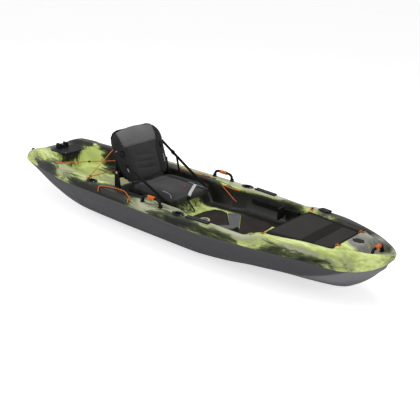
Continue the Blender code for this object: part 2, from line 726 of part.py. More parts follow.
def build_pads(mats):
    """Three foam pads on the standing floor, split by two chevron lines."""
    low = FOOT_FLOOR_Z + TOUCH_GAP
    high = low + PAD_THICKNESS
    half, rear_half = PAD_HALF_WIDTH, PAD_REAR_HALF_WIDTH
    point, knee = PAD_CHEVRON_POINT, PAD_CHEVRON_REAR
    aft = [(PAD_REAR, 0.06), (PAD_REAR + 0.025, rear_half - 0.025), (PAD_REAR + 0.075, rear_half),
           (knee, rear_half - 0.012)]
    middle = [(knee + PAD_SPLIT, rear_half - 0.010), (knee + PAD_BAND - 0.02, half - 0.012),
              (knee + PAD_BAND, half - 0.012)]
    fore = [(knee + PAD_BAND + PAD_SPLIT, half - 0.010), (PAD_FRONT - 0.060, half),
            (PAD_FRONT - 0.012, half - 0.040), (PAD_FRONT, 0.06)]

    def mirrored(edge, nose=(), tail=()):
        return ([(x, -y) for x, y in edge] + list(nose) + edge[::-1] + list(tail))

    prism("deck_pad_aft", mirrored(aft, [(point, 0.0)]), low, high, mats["pad_dark"])
    prism("deck_pad_middle", mirrored(middle, [(point + PAD_BAND, 0.0)],
                                      [(point + PAD_SPLIT, 0.0)]), low, high, mats["pad_grey"])
    prism("deck_pad_fore", mirrored(fore, (), [(point + PAD_BAND + PAD_SPLIT, 0.0)]), low, high,
          mats["pad_dark"])


def build_tracks(mats):
    half, wall, slot = TRACK_WIDTH / 2, TRACK_WALL, TRACK_SLOT / 2
    top, lip = TRACK_HEIGHT, TRACK_HEIGHT - TRACK_WALL
    outline = [(-half, 0.0), (half, 0.0), (half, top), (slot, top), (slot, lip),
               (half - wall, lip), (half - wall, wall), (-half + wall, wall),
               (-half + wall, lip), (-slot, lip), (-slot, top), (-half, top)]
    along = Matrix(((0, 0, 1, 0), (1, 0, 0, 0), (0, 1, 0, 0), (0, 0, 0, 1)))
    for side_name, side in SIDES:
        place = on_gunwale(TRACK_X, side, TRACK_INSET)
        prism("gear_track_" + side_name, outline, -TRACK_LENGTH / 2, TRACK_LENGTH / 2,
              mats["track"], place @ along)
    length, width = BLOCK_LENGTH / 2, BLOCK_WIDTH / 2
    chamfer = 0.008
    outline = [(-length + chamfer, -width), (length - chamfer, -width), (length, -width + chamfer),
               (length, width - chamfer), (length - chamfer, width), (-length + chamfer, width),
               (-length, width - chamfer), (-length, -width + chamfer)]
    place = on_gunwale(BLOCK_X, 1, half_breadth(BLOCK_X) - BLOCK_Y)
    slope = math.atan2(gunwale_z(BLOCK_X + 0.04) - gunwale_z(BLOCK_X - 0.04), 0.08)
    place = place @ Matrix.Translation((0, 0, 0.0006)) @ Matrix.Rotation(-slope, 4, "Y")
    prism("gear_block_port", outline, 0.0, BLOCK_HEIGHT, mats["black_plastic"], place)


def build_rod_holders(deck, mats):
    """Flush cups through the gunwale: an oval flange on top and an upright blind tube below."""
    outer = HOLDER_BORE_RADIUS + HOLDER_WALL
    for label, x, inset in (("rear", HOLDER_REAR_X, HOLDER_REAR_INSET),
                            ("mid", HOLDER_MID_X, HOLDER_MID_INSET)):
        for side_name, side in SIDES:
            name = "rod_holder_" + label + "_" + side_name
            place = on_gunwale(x, side, inset)
            flange = prism(name, round_outline(*HOLDER_FLANGE, 28), 0.0, HOLDER_FLANGE_THICKNESS,
                           mats["black_plastic"], place)
            middle = place @ Vector((0, 0, HOLDER_FLANGE_THICKNESS / 2))
            low = middle - UPWARD * HOLDER_LENGTH
            body = rod(name + "_tube", outer, low, middle, None, 20)
            join(flange, body)
            bore = rod(name + "_bore", HOLDER_BORE_RADIUS, low + UPWARD * HOLDER_WALL,
                       middle + UPWARD * 0.05, None, 20)
            cut(flange, bore)
            hole = rod(name + "_hole", outer + 4 * TOUCH_GAP, middle - UPWARD * 0.06,
                       middle + UPWARD * 0.06, None, 20)
            cut(deck, hole)


def wall_y(x, z):
    """Half width between the well's walls at a height between their upper and lower turn."""
    (y1, z1), (y2, z2), (y3, z3) = deck_section(x)[6:9]
    if z > z2:
        return y2 + (y1 - y2) * (z - z2) / (z1 - z2)
    return y3 + (y2 - y3) * (z - z3) / (z2 - z3)


def build_foot_braces(mats):
    low, high = RAIL_Z - RAIL_HEIGHT / 2, RAIL_Z + RAIL_HEIGHT / 2
    turn = deck_section(PEG_X)[7][1]
    rear, front = RAIL_REAR_PORT - ROW_SPACING, RAIL_FRONT + RAIL_MARGIN + TOUCH_GAP
    places = [x for x in row_places() if rear < x < front]
    back = [(min(wall_y(x, z) for x in places) - 2 * TOUCH_GAP, z)
            for z in (low, turn, high) if low <= z <= high]
    face = min(y for y, _ in back) - RAIL_DEPTH
    along = Matrix(((0, 0, 1, 0), (1, 0, 0, 0), (0, 1, 0, 0), (0, 0, 0, 1)))
    for side_name, side, rear in (("starboard", -1, RAIL_REAR_STARBOARD),
                                  ("port", 1, RAIL_REAR_PORT)):
        outline = [(side * y, z) for y, z in [(face, low)] + back + [(face, high)]]
        prism("footrest_rail_" + side_name, outline, rear, RAIL_FRONT, mats["rail"], along)
        outer = face - TOUCH_GAP
        inner = outer - PEG_CARRIAGE
        thick, reach, tall = PEG_PLATE
        edges = sorted((side * inner, side * outer))
        carriage = block("foot_peg_" + side_name, (-PEG_LENGTH / 2, edges[0], low),
                         (PEG_LENGTH / 2, edges[1], high), mats["black_plastic"])
        carriage.location.x = PEG_X
        base = RAIL_Z - tall / 2
        edges = sorted((side * (inner - reach), side * (inner + PEG_CARRIAGE / 3)))
        plate = block("peg_plate_" + side_name, (PEG_X - thick / 2, edges[0], base),
                      (PEG_X + thick / 2, edges[1], base + tall), None)
        join(carriage, plate)


def handle_parts(name, place, half_span, rise, mats, anchor_names):
    """Arched handle on two pins. Its axis is the frame's X; the arch stands along Z."""
    axis_z = ANCHOR_PIN_Z
    shoulder = half_span * 0.60
    arch = [(-half_span, 0.0), (-half_span, rise * 0.35), (-half_span * 0.86, rise * 0.80),
            (-shoulder, rise), (shoulder, rise), (half_span * 0.86, rise * 0.80),
            (half_span, rise * 0.35), (half_span, 0.0)]
    left = spread([(x, 0.0, z) for x, z in arch[:4]], 3)
    right = spread([(x, 0.0, z) for x, z in arch[4:]], 3)
    line = left + right
    handle = as_mesh(tube(name, line, HANDLE_RADIUS, mats["rubber"], False, 1))
    pivot = place @ Matrix.Translation((0, 0, axis_z))
    handle.matrix_world = pivot
    bore = HANDLE_PIN_RADIUS + HANDLE_PIN_PLAY
    for end, label in ((-1, "_a"), (1, "_b")):
        x = end * half_span
        ring = rod(name + "_eye" + label, HANDLE_EYE_RADIUS, (x - HANDLE_EYE_WIDTH / 2, 0, 0),
                   (x + HANDLE_EYE_WIDTH / 2, 0, 0), None, 16)
        ring.matrix_world = pivot
        join(handle, ring)
    for end, label in ((-1, "_a"), (1, "_b")):
        x = end * half_span
        hole = rod(name + "_bore" + label, bore, (x - HANDLE_EYE_WIDTH, 0, 0),
                   (x + HANDLE_EYE_WIDTH, 0, 0), None, 16)
        hole.matrix_world = pivot
        cut(handle, hole)
    half = GRIP_LENGTH / 2
    grip = rod(name + "_grip", GRIP_RADIUS, (-half, 0, rise), (half, 0, rise),
               mats["orange_rubber"], 16)
    grip.matrix_world = pivot
    core = rod(name + "_grip_bore", HANDLE_RADIUS + GRIP_PLAY, (-half - 0.01, 0, rise),
               (half + 0.01, 0, rise), None, 16)
    core.matrix_world = pivot
    cut(grip, core)
    length, width, thick = ANCHOR_BASE
    for end, anchor_name in zip((-1, 1), anchor_names):
        inner = end * (half_span + HANDLE_EYE_WIDTH / 2 + 2 * TOUCH_GAP)
        outer = inner + end * ANCHOR_LUG
        tip = end * (half_span - HANDLE_EYE_WIDTH / 2 - 2 * TOUCH_GAP)
        base_in, base_out = inner - end * (length - ANCHOR_LUG), outer + end * ANCHOR_FOOT
        base = block(anchor_name, (min(base_in, base_out), -width / 2, 0.0),
                     (max(base_in, base_out), width / 2, thick), mats["black_plastic"])
        base.matrix_world = place
        lug = prism(anchor_name + "_lug",
                    [(-width * 0.42, thick / 2), (width * 0.42, thick / 2),
                     (0.006, axis_z + 0.006), (-0.006, axis_z + 0.006)],
                    min(inner, outer), max(inner, outer), None,
                    Matrix(((0, 0, 1, 0), (1, 0, 0, 0), (0, 1, 0, 0), (0, 0, 0, 1))))
        lug.matrix_world = place
        join(base, lug)
        pin = rod(anchor_name + "_pin", HANDLE_PIN_RADIUS, (inner + end * 0.003, 0, axis_z),
                  (tip - end * 0.003, 0, axis_z), None, 16)
        pin.matrix_world = place
        join(base, pin)


def build_handles(mats):
    for side_name, side in SIDES:
        place = on_gunwale(SIDE_HANDLE_X, side, SIDE_HANDLE_INSET)
        handle_parts("side_handle_" + side_name, place, SIDE_HANDLE_HALF_SPAN, SIDE_HANDLE_RISE,
                     mats, ("side_handle_anchor_aft_" + side_name,
                            "side_handle_anchor_fore_" + side_name))
    x = BOW - BOW_HANDLE_SETBACK
    level = BOW_PAD_Z + TOUCH_GAP
    place = Matrix.Translation((x, 0, level)) @ Matrix.Rotation(math.pi / 2, 4, "Z")
    pad_edge = deck_section(x + ANCHOR_BASE[1] / 2)[9][0]
    end = HANDLE_EYE_WIDTH / 2 + 2 * TOUCH_GAP + ANCHOR_LUG + ANCHOR_FOOT
    half_span = pad_edge - BOW_HANDLE_MARGIN - end
    handle_parts("bow_handle", place, half_span, BOW_HANDLE_RISE, mats,
                 ("bow_handle_anchor_starboard", "bow_handle_anchor_port"))


def cushion(name, half_x, half_y, side, crown, mat, channels=(), waist=0.0,
            corner=CUSHION_CORNER):
    """Padded form on z = 0: crowned top, drawn-in sides, round corners, pressed channels.

    Each channel is (x share, slope, from, to): a line across at x = share + slope * |y|,
    or, where slope is None, a line along at y = +-share; both run between the given shares.
    """
    cells = CUSHION_CELLS
    verts, index = [], {}

    def plan(u, v, grow=0.0):
        x = (half_x + grow) * u * math.sqrt(1 - corner * v * v)
        y = (half_y + grow) * v * math.sqrt(1 - corner * u * u)
        x *= 1 - CUSHION_PINCH * (1 - v * v) * u * u
        y *= 1 - CUSHION_PINCH * (1 - u * u) * v * v
        return x, y * (1 - waist * (1 - u) / 2)

    def press(u, v):
        deep = 0.0
        for share, slope, start, end in channels:
            if slope is None:
                away, run = abs(abs(v) - share) * half_y, u
            else:
                away, run = abs(u - share - slope * abs(v)) * half_x, abs(v)
            if start <= run <= end:
                deep = max(deep, math.exp(-(away / CHANNEL_WIDTH) ** 2))
        return deep * CHANNEL_DEPTH

    for i in range(cells + 1):
        for j in range(cells + 1):
            u, v = 2 * i / cells - 1, 2 * j / cells - 1
            rise = ((1 - u ** 4) * (1 - v ** 4)) ** 0.5
            x, y = plan(u, v, -0.004)
            index[i, j] = len(verts)
            verts.append((x, y, side + crown * rise - press(u, v)))
    edge = ([(i, 0) for i in range(cells)] + [(cells, j) for j in range(cells)]
            + [(i, cells) for i in range(cells, 0, -1)] + [(0, j) for j in range(cells, 0, -1)])
    rings = [[index[key] for key in edge]]
    for height, grow in ((side * 0.55, 0.0), (side * 0.2, -0.002), (0.0, -0.008)):
        ring = []
        for i, j in edge:
            x, y = plan(2 * i / cells - 1, 2 * j / cells - 1, grow)
            ring.append(len(verts))
            verts.append((x, y, height))
        rings.append(ring)
    faces = [(index[i, j], index[i + 1, j], index[i + 1, j + 1], index[i, j + 1])
             for i in range(cells) for j in range(cells)]
    count = len(edge)
    for high, low in zip(rings, rings[1:]):
        for k in range(count):
            n = (k + 1) % count
            faces.append((high[k], low[k], low[n], high[n]))
    faces.append(rings[-1][::-1])
    return add_mesh(name, verts, faces, mat, 50)


def build_seat(mats):
    tray_low = SEAT_DECK_Z + TOUCH_GAP
    tray_high = tray_low + SEAT_TRAY_HEIGHT
    half, wide, ear = SEAT_TRAY_HALF_WIDTH, BRANCH_EAR_REACH, SEAT_EAR_REACH
    rear_end, front = HINGE_X + LUG_WIDTH / 2 + 0.040, SEAT_TRAY_FRONT
    branch = STRAP_BRANCH_FOOT[0]
    outline = [(SEAT_REAR, -wide), (rear_end, -wide), (rear_end + 0.010, -half),
               (branch - 0.020, -half), (branch - 0.014, -wide), (branch + 0.014, -wide),
               (branch + 0.020, -half), (front - 0.040, -half), (front - 0.034, -ear),
               (front - 0.004, -ear), (front, -half), (front, -half + 0.050)]
    outline += [(x, -y) for x, y in outline[::-1]]
    tray = prism("seat_base", outline, tray_low, tray_high, mats["black_plastic"])
    hub = HUB_REACH + 4 * TOUCH_GAP
    for side_name, side in SIDES:
        inner, outer = side * hub, side * (hub + LUG_THICKNESS)
        upright = Matrix(((1, 0, 0, 0), (0, 0, 1, 0), (0, 1, 0, 0), (0, 0, 0, 1)))
        rear, front = HINGE_X - LUG_WIDTH / 2, HINGE_X + LUG_WIDTH / 2
        outline = [(rear, tray_low), (front + 0.03, tray_low), (front, HINGE_Z - 0.03),
                   (HINGE_X + 0.014, HINGE_Z + 0.012), (HINGE_X - 0.014, HINGE_Z + 0.012),
                   (rear, HINGE_Z - 0.01)]
        lug = prism("seat_lug_" + side_name, outline, min(inner, outer), max(inner, outer), None,
                    upright)
        join(tray, lug)
        hole = rod("seat_lug_hole_" + side_name, HINGE_PIN_RADIUS + HINGE_PIN_PLAY,
                   (HINGE_X, side * (hub - 0.01), HINGE_Z),
                   (HINGE_X, side * (hub + LUG_THICKNESS + 0.01), HINGE_Z), None, 16)
        cut(tray, hole)
        head_at = hub + LUG_THICKNESS + TOUCH_GAP
        pin = rod("seat_hinge_pin_" + side_name, HINGE_PIN_RADIUS,
                  (HINGE_X, side * (HUB_REACH - BACK_BOSS_LENGTH), HINGE_Z),
                  (HINGE_X, side * (head_at + 0.001), HINGE_Z), mats["steel"], 16)
        head = rod("pin_head_" + side_name, HINGE_HEAD_RADIUS, (HINGE_X, side * head_at, HINGE_Z),
                   (HINGE_X, side * (head_at + HINGE_HEAD_HEIGHT), HINGE_Z), None, 16)
        join(pin, head)
    length = (CUSHION_FRONT - CUSHION_REAR) / 2
    pan = cushion("seat_cushion", length, CUSHION_HALF_WIDTH, CUSHION_SIDE, CUSHION_CROWN,
                  mats["seat_fabric"], ((0.42, -0.15, 0.0, 0.62), (0.62, None, -0.9, 0.45)))
    pan.location = ((CUSHION_FRONT + CUSHION_REAR) / 2, 0, tray_high + TOUCH_GAP)


def back_frame_matrix():
    """Back rest's own frame: Z up the back, X forward of it, origin on the hinge."""
    return Matrix.Translation((HINGE_X, 0, HINGE_Z)) @ Matrix.Rotation(-BACK_LEAN, 4, "Y")


def build_back(mats):
    rest = back_frame_matrix()
    facing = Matrix(((0, 0, 1, 0), (0, -1, 0, 0), (1, 0, 0, 0), (0, 0, 0, 1)))
    half, top, low = BACK_HALF_WIDTH, BACK_TOP, BACK_BOTTOM
    corner = BACK_CORNER
    arc = [(top - corner + corner * math.sin(a), half - corner + corner * math.cos(a))
           for a in (0, math.pi / 6, math.pi / 3, math.pi / 2)]
    outline = [(low, half - 0.090), (low + 0.030, half - 0.030), (-0.016, half)] + arc
    outline += [(s, -y) for s, y in outline[::-1]]
    frame = prism("seat_back_frame", outline, 2 * TOUCH_GAP, BACK_FRAME_THICKNESS,
                  mats["black_plastic"], facing)
    frame.matrix_world = rest
    for side_name, side in SIDES:
        start = side * (HUB_REACH - BACK_BOSS_LENGTH)
        hub = rod("back_boss_" + side_name, BACK_BOSS_RADIUS, (0, start, 0),
                  (0, side * HUB_REACH, 0), None, 20)
        hub.matrix_world = rest
        join(frame, hub)
    for side_name, side in SIDES:
        hole = rod("back_hole_" + side_name, HINGE_PIN_RADIUS + HINGE_PIN_PLAY,
                   (0, side * (HUB_REACH - BACK_BOSS_LENGTH - 0.02), 0),
                   (0, side * (HUB_REACH + 0.01), 0), None, 16)
        hole.matrix_world = rest
        cut(frame, hole)
    reach = (BACK_TOP - BACK_BOTTOM) / 2
    middle = (BACK_TOP + BACK_BOTTOM) / 2
    front = cushion("seat_back_cushion", reach, BACK_CUSHION_HALF_WIDTH, BACK_CUSHION_SIDE,
                    BACK_CUSHION_CROWN, mats["seat_fabric"],
                    ((-0.12, 0.0, 0.0, 0.45), (-0.30, 0.0, 0.0, 0.45), (-0.48, 0.0, 0.0, 0.45),
                     (0.60, None, -0.9, 0.8)), 0.0, BACK_CUSHION_CORNER)
    ahead = Matrix.Translation((BACK_BOSS_RADIUS + TOUCH_GAP, 0, middle))
    front.matrix_world = rest @ ahead @ facing
    build_pouch(mats)


def build_pouch(mats):
    """Bag sewn to the back's rear that hangs plumb behind it, clear of the tray."""
    lean = Vector((-math.sin(BACK_LEAN), math.cos(BACK_LEAN)))
    hinge = Vector((HINGE_X - TOUCH_GAP / math.cos(BACK_LEAN), HINGE_Z))
    upper, join_at = hinge + lean * POUCH_TOP, hinge + lean * POUCH_JOIN
    foot, edge = HINGE_Z - POUCH_DROP, POUCH_EDGE
    outline = [upper, join_at, (POUCH_FRONT, foot + edge), (POUCH_FRONT - edge, foot),
               (POUCH_REAR + edge, foot), (POUCH_REAR, foot + edge),
               (POUCH_REAR, upper.y - 3 * edge), (POUCH_REAR + edge, upper.y - edge)]
    upright = Matrix(((1, 0, 0, 0), (0, 0, 1, 0), (0, 1, 0, 0), (0, 0, 0, 1)))
    prism("seat_back_pouch", [tuple(point) for point in outline], -POUCH_HALF_WIDTH,
          POUCH_HALF_WIDTH, mats["black_fabric"], upright)


def ribbon(name, start, end, width, thickness, across, mat):
    """Flat webbing from start to end; across is the direction of its width."""
    start, end, across = Vector(start), Vector(end), Vector(across)
    along = (end - start).normalized()
    across = (across - along * across.dot(along)).normalized()
    normal = along.cross(across)
    place = Matrix((along, across, normal)).transposed().to_4x4()
    place.translation = start
    half = width / 2
    high = ((end - start).length, half, thickness / 2)
    return block(name, (0, -half, -thickness / 2), high, mat, place)


def mirrored_point(point, side):
    return Vector((point[0], side * point[1], point[2]))


def build_webbing(mats):
    """Side straps with their branches, and the sliders that set their length."""
    for side_name, side in SIDES:
        upper, foot = mirrored_point(STRAP_UPPER, side), mirrored_point(STRAP_FOOT, side)
        strap = ribbon("seat_strap_" + side_name, upper, foot, STRAP_WIDTH, STRAP_THICKNESS,
                       (0.3, 0, 1), mats["webbing"])
        knot = upper.lerp(foot, STRAP_BRANCH_SHARE)
        branch_foot = mirrored_point(STRAP_BRANCH_FOOT, side)
        branch = ribbon("seat_strap_branch_" + side_name, knot, branch_foot,
                        STRAP_WIDTH * 0.8, STRAP_THICKNESS, (1, 0, 0), None)
        join(strap, branch)
        length, width, thick = SLIDER_SIZE
        along = (foot - upper).normalized()
        middle = upper.lerp(foot, SLIDER_SHARE) - along * SLIDER_SLIP
        slider = ribbon("strap_slider_" + side_name, middle - along * length / 2,
                        middle + along * length / 2, width, thick, (0.3, 0, 1),
                        mats["black_plastic"])
        cut(slider, ribbon("slider_slot_" + side_name, middle - along * length,
                           middle + along * length, STRAP_WIDTH + 2 * SLIDER_PLAY,
                           STRAP_THICKNESS + 2 * SLIDER_PLAY, (0.3, 0, 1), None))


def pan_top(x, y):
    """Height of the seat cushion's crowned top."""
    half = (CUSHION_FRONT - CUSHION_REAR) / 2
    u = min(1.0, abs(x - (CUSHION_FRONT + CUSHION_REAR) / 2) / half)
    v = min(1.0, abs(y) / CUSHION_HALF_WIDTH)
    rise = math.sqrt((1 - u ** 4) * (1 - v ** 4))
    return SEAT_DECK_Z + SEAT_TRAY_HEIGHT + 2 * TOUCH_GAP + CUSHION_SIDE + CUSHION_CROWN * rise


def build_front_strap(mats):
    """Grip webbing over the cushion's front edge, its buckle, and the tether to the floor."""
    lift = STRAP_THICKNESS / 2 + 0.0008
    line = [Vector((x, y, pan_top(x, y) + lift)) for x, y in FRONT_STRAP_LINE]
    line += [Vector(p) for p in FRONT_STRAP_DROP]
    half_w, half_t = FRONT_STRAP_WIDTH / 2, STRAP_THICKNESS / 2
    bm = bmesh.new()
    rings = []
    for i, point in enumerate(line):
        along = (line[min(i + 1, len(line) - 1)] - line[max(i - 1, 0)]).normalized()
        across = Vector((0.87, 0.49, 0.0)) if i < 5 else Vector((0.25, 0.97, 0.0))
        across = (across - along * across.dot(along)).normalized()
        normal = along.cross(across)
        rings.append([bm.verts.new(point + across * half_w * a + normal * half_t * b)
                      for a, b in ((-1, -1), (1, -1), (1, 1), (-1, 1))])
    for low, high in zip(rings, rings[1:]):
        for k in range(4):
            n = (k + 1) % 4
            bm.faces.new((low[k], low[n], high[n], high[k]))
    bm.faces.new(rings[0][::-1])
    bm.faces.new(rings[-1])
    from_bmesh("seat_front_strap", bm, mats["silver_webbing"])
    centre = Vector(FRONT_BUCKLE_AT)
    half = Vector(FRONT_BUCKLE) / 2
    block("seat_front_buckle", centre - half, centre + half, mats["black_plastic"])
    start = centre - UPWARD * (half.z + TOUCH_GAP)
    foot = Vector((*TETHER_FOOT, FOOT_FLOOR_Z + TOUCH_GAP))
    tube("seat_front_tether", [start, start - UPWARD * 0.012, foot + UPWARD * 0.020, foot],
         CORD_RADIUS, mats["black_cord"])


def cover_outline(inset):
    """Half outline of the cover, from the rear edge to the front edge, on the port side."""
    rear, front = COVER_REAR + inset, COVER_FRONT - inset
    wide = BOW_MOUTH_REAR - COVER_SIDE_GAP - inset
    narrow = BOW_MOUTH_FRONT - COVER_SIDE_GAP - 0.006 - inset
    return [(rear, wide - 0.020), (rear + 0.020, wide), (front - 0.020, narrow + 0.002),
            (front, narrow - 0.020)]


def build_cover(mats):
    """Soft cover over the bow well: a lip on a smaller core, which leaves a rebate round it."""
    low = BRIDGE_Z + TOUCH_GAP
    mid = low + COVER_CORE
    for name, inset, bottom, top, mat in (
            ("bow_cover", 0.0, mid, mid + COVER_LIP, mats["cover"]),
            ("bow_cover_core", COVER_REBATE, low, mid + COVER_LIP / 2, None)):
        half = cover_outline(inset)
        made = prism(name, [(x, -y) for x, y in half] + half[::-1], bottom, top, mat)
        if mat:
            cover = made
    join(cover, made)


def hook(name, x, y, z, mat):
    """Round-headed post that a shock cord goes round."""
    post = rod(name, HOOK_RADIUS, (x, y, z + HOOK_LIFT), (x, y, z + HOOK_RISE), mat, 12)
    join(post, rod(name + "_base", HOOK_BASE_RADIUS, (x, y, z + HOOK_LIFT / 2),
                   (x, y, z + HOOK_LIFT + HOOK_BASE), None, 12))
    join(post, rod(name + "_head", HOOK_HEAD_RADIUS, (x, y, z + HOOK_RISE - HOOK_HEAD / 2),
                   (x, y, z + HOOK_RISE + HOOK_HEAD / 2), None, 14))


def turn_round(x, y, z, radius, start, end, steps):
    """Points round a post, from one bearing to another, in degrees."""
    bearings = [math.radians(start + (end - start) * k / steps) for k in range(steps + 1)]
    return [(x + radius * math.cos(a), y + radius * math.sin(a), z) for a in bearings]


def build_cover_cord(mats):
    """Hooks on the deck and the closed cord that holds the cover down."""
    panel_z = gunwale_z(COVER_FRONT) + BOW_PANEL_RISE
    for side_name, side in SIDES:
        hook("cover_hook_rear_" + side_name, REAR_HOOK[0], side * REAR_HOOK[1],
             gunwale_z(REAR_HOOK[0]), mats["black_plastic"])
        hook("cover_hook_front_" + side_name, FRONT_HOOK[0], side * FRONT_HOOK[1], panel_z,
             mats["black_plastic"])
    low = BRIDGE_Z + 2 * TOUCH_GAP + COVER_CORD_RADIUS
    (rear, rear_y), (side_rear, wide), (side_front, narrow), (front, front_y) = cover_outline(
        COVER_REBATE / 2)
    wrap = HOOK_RADIUS + COVER_CORD_RADIUS + 2 * TOUCH_GAP
    x, y = REAR_HOOK
    z = gunwale_z(x) + HOOK_LIFT + HOOK_BASE + COVER_CORD_RADIUS + 2 * TOUCH_GAP
    lip_rear, lip_front, lip_side = COVER_REAR, COVER_FRONT, wide + COVER_REBATE / 2
    half = [(rear, 0.0, low), (rear, rear_y - 0.030, low), (rear, rear_y - 0.010, low),
            (lip_rear + 0.0015, rear_y + 0.002, low),
            (lip_rear - 0.0025, rear_y + 0.015, low + 0.002),
            (x - wrap - 0.001, y - 0.022, low + 0.010), (x - wrap, y - 0.008, z)]
    half += turn_round(x, y, z, wrap, 180, 0, 4)
    half += [(x + wrap, y - 0.008, z), (x + wrap + 0.001, y - 0.0195, low + 0.011),
             (x + 0.014, lip_side + 0.0045, low + 0.004), (x + 0.024, lip_side - 0.001, low),
             (x + 0.045, wide - 0.0035, low)]
    x, y = FRONT_HOOK
    z = panel_z + HOOK_LIFT + HOOK_BASE + COVER_CORD_RADIUS + 2 * TOUCH_GAP
    step = lip_front + 0.010
    half += [(side_front, narrow, low), (front, front_y, low), (front, y + 0.018, low),
             (lip_front + 0.0042, y + 0.014, low + 0.003), (step, y + 0.011, low + 0.018),
             (step + 0.006, y + 0.009, z - 0.001), (x - 0.006, y + wrap, z)]
    half += turn_round(x, y, z, wrap, 90, -90, 4)
    half += [(x - 0.006, y - wrap, z), (step + 0.006, y - 0.009, z - 0.001),
             (step, y - 0.011, low + 0.018), (lip_front + 0.0042, y - 0.014, low + 0.003),
             (front, y - 0.018, low), (front, 0.0, low)]
    line = half + [(px, -py, pz) for px, py, pz in half[-2:0:-1]]
    tube("bow_cover_cord", line, COVER_CORD_RADIUS, mats["cord"], True)


def on_top(x, y, lift=CORD_LIFT):
    return (x, y, gunwale_z(x) + lift)


def over_edge(x, side, down):
    """Points that take a cord over the gunwale's outer edge, listed inside to outside."""
    y = half_breadth(x)
    top = gunwale_z(x)
    low_y = y - 0.0018 + 0.35 * (down - 0.023)
    return [(x, side * (y - 0.025), top + CORD_LIFT),
            (x + 0.002, side * (y - 0.0100), top - 0.0043),
            (x + 0.004, side * (y - 0.0020), top - 0.0230),
            (x + 0.005, side * low_y, top - down)]


def build_tank_bungee(mats):
    """One cord zigzags over the tank well: deck, port hook, starboard hook, deck."""
    for name, (x, y) in (("tank_well_hook_port", TANK_HOOK_PORT),
                         ("tank_well_hook_starboard", TANK_HOOK_STARBOARD)):
        hook(name, x, y, gunwale_z(x), mats["black_plastic"])
    wrap = HOOK_RADIUS + CORD_RADIUS + 2 * TOUCH_GAP
    low = HOOK_LIFT + HOOK_BASE + CORD_RADIUS + 2 * TOUCH_GAP
    end_x, end_y = TANK_CORD_END_X, TANK_CORD_END_Y
    port_x, port_y = TANK_HOOK_PORT
    board_x, board_y = TANK_HOOK_STARBOARD
    line = [on_top(end_x, -end_y, 2 * TOUCH_GAP), on_top(end_x, -end_y, 0.005),
            on_top(end_x + 0.008, -end_y + 0.011, 0.008)]
    line += turn_round(port_x, port_y, gunwale_z(port_x) + low, wrap, 145, -10, 5)
    line += turn_round(board_x, board_y, gunwale_z(board_x) + low + 0.0015, wrap, 0, -215, 6)
    line += [on_top(end_x + 0.008, end_y - 0.011, 0.019), on_top(end_x, end_y, 0.015),
             on_top(end_x, end_y, 2 * TOUCH_GAP)]
    cord = as_mesh(tube("tank_well_bungee", line, CORD_RADIUS, mats["cord"]))
    start, end = Vector(line[2]), Vector(line[3])
    along = (end - start).normalized()
    middle = start.lerp(end, 0.28)
    bead = rod("bungee_bead", BEAD_RADIUS, middle - along * 0.009, middle + along * 0.009, None, 12)
    join(cord, bead)


def build_side_cords(mats):
    """Paddle cords on both gunwales and the cord on the port footwell wall."""
    line = over_edge(-0.524, -1, 0.034)[::-1]
    line += [on_top(x, -y) for x, y in PADDLE_LINE_STARBOARD]
    line += over_edge(-0.222, -1, 0.026)
    tube("paddle_bungee_starboard", line, CORD_RADIUS, mats["cord"])
    line = over_edge(-0.500, 1, 0.034)[::-1] + [on_top(x, y) for x, y in PADDLE_LINE_PORT]
    x, y = PADDLE_KNOT_PORT
    line += [on_top(x - 0.001, y - 0.001, 0.0048), on_top(x, y, 0.0030), on_top(x, y, TOUCH_GAP)]
    tube("paddle_bungee_port", line, CORD_RADIUS, mats["cord"])
    line = [(x, wall_y(x, z) - 0.0042, z) for x, z in WALL_CORD]
    tube("wall_bungee", line, CORD_RADIUS, mats["cord"])


def build_badge(mats):
    low = gunwale_z(BADGE_X) + BOW_PANEL_RISE + TOUCH_GAP
    outline = round_outline(BADGE_RADIUS, BADGE_RADIUS * BADGE_WIDTH_SHARE, 6, (BADGE_X, 0))
    prism("bow_badge_plate", outline, low, low + BADGE_THICKNESS, mats["black_plastic"])


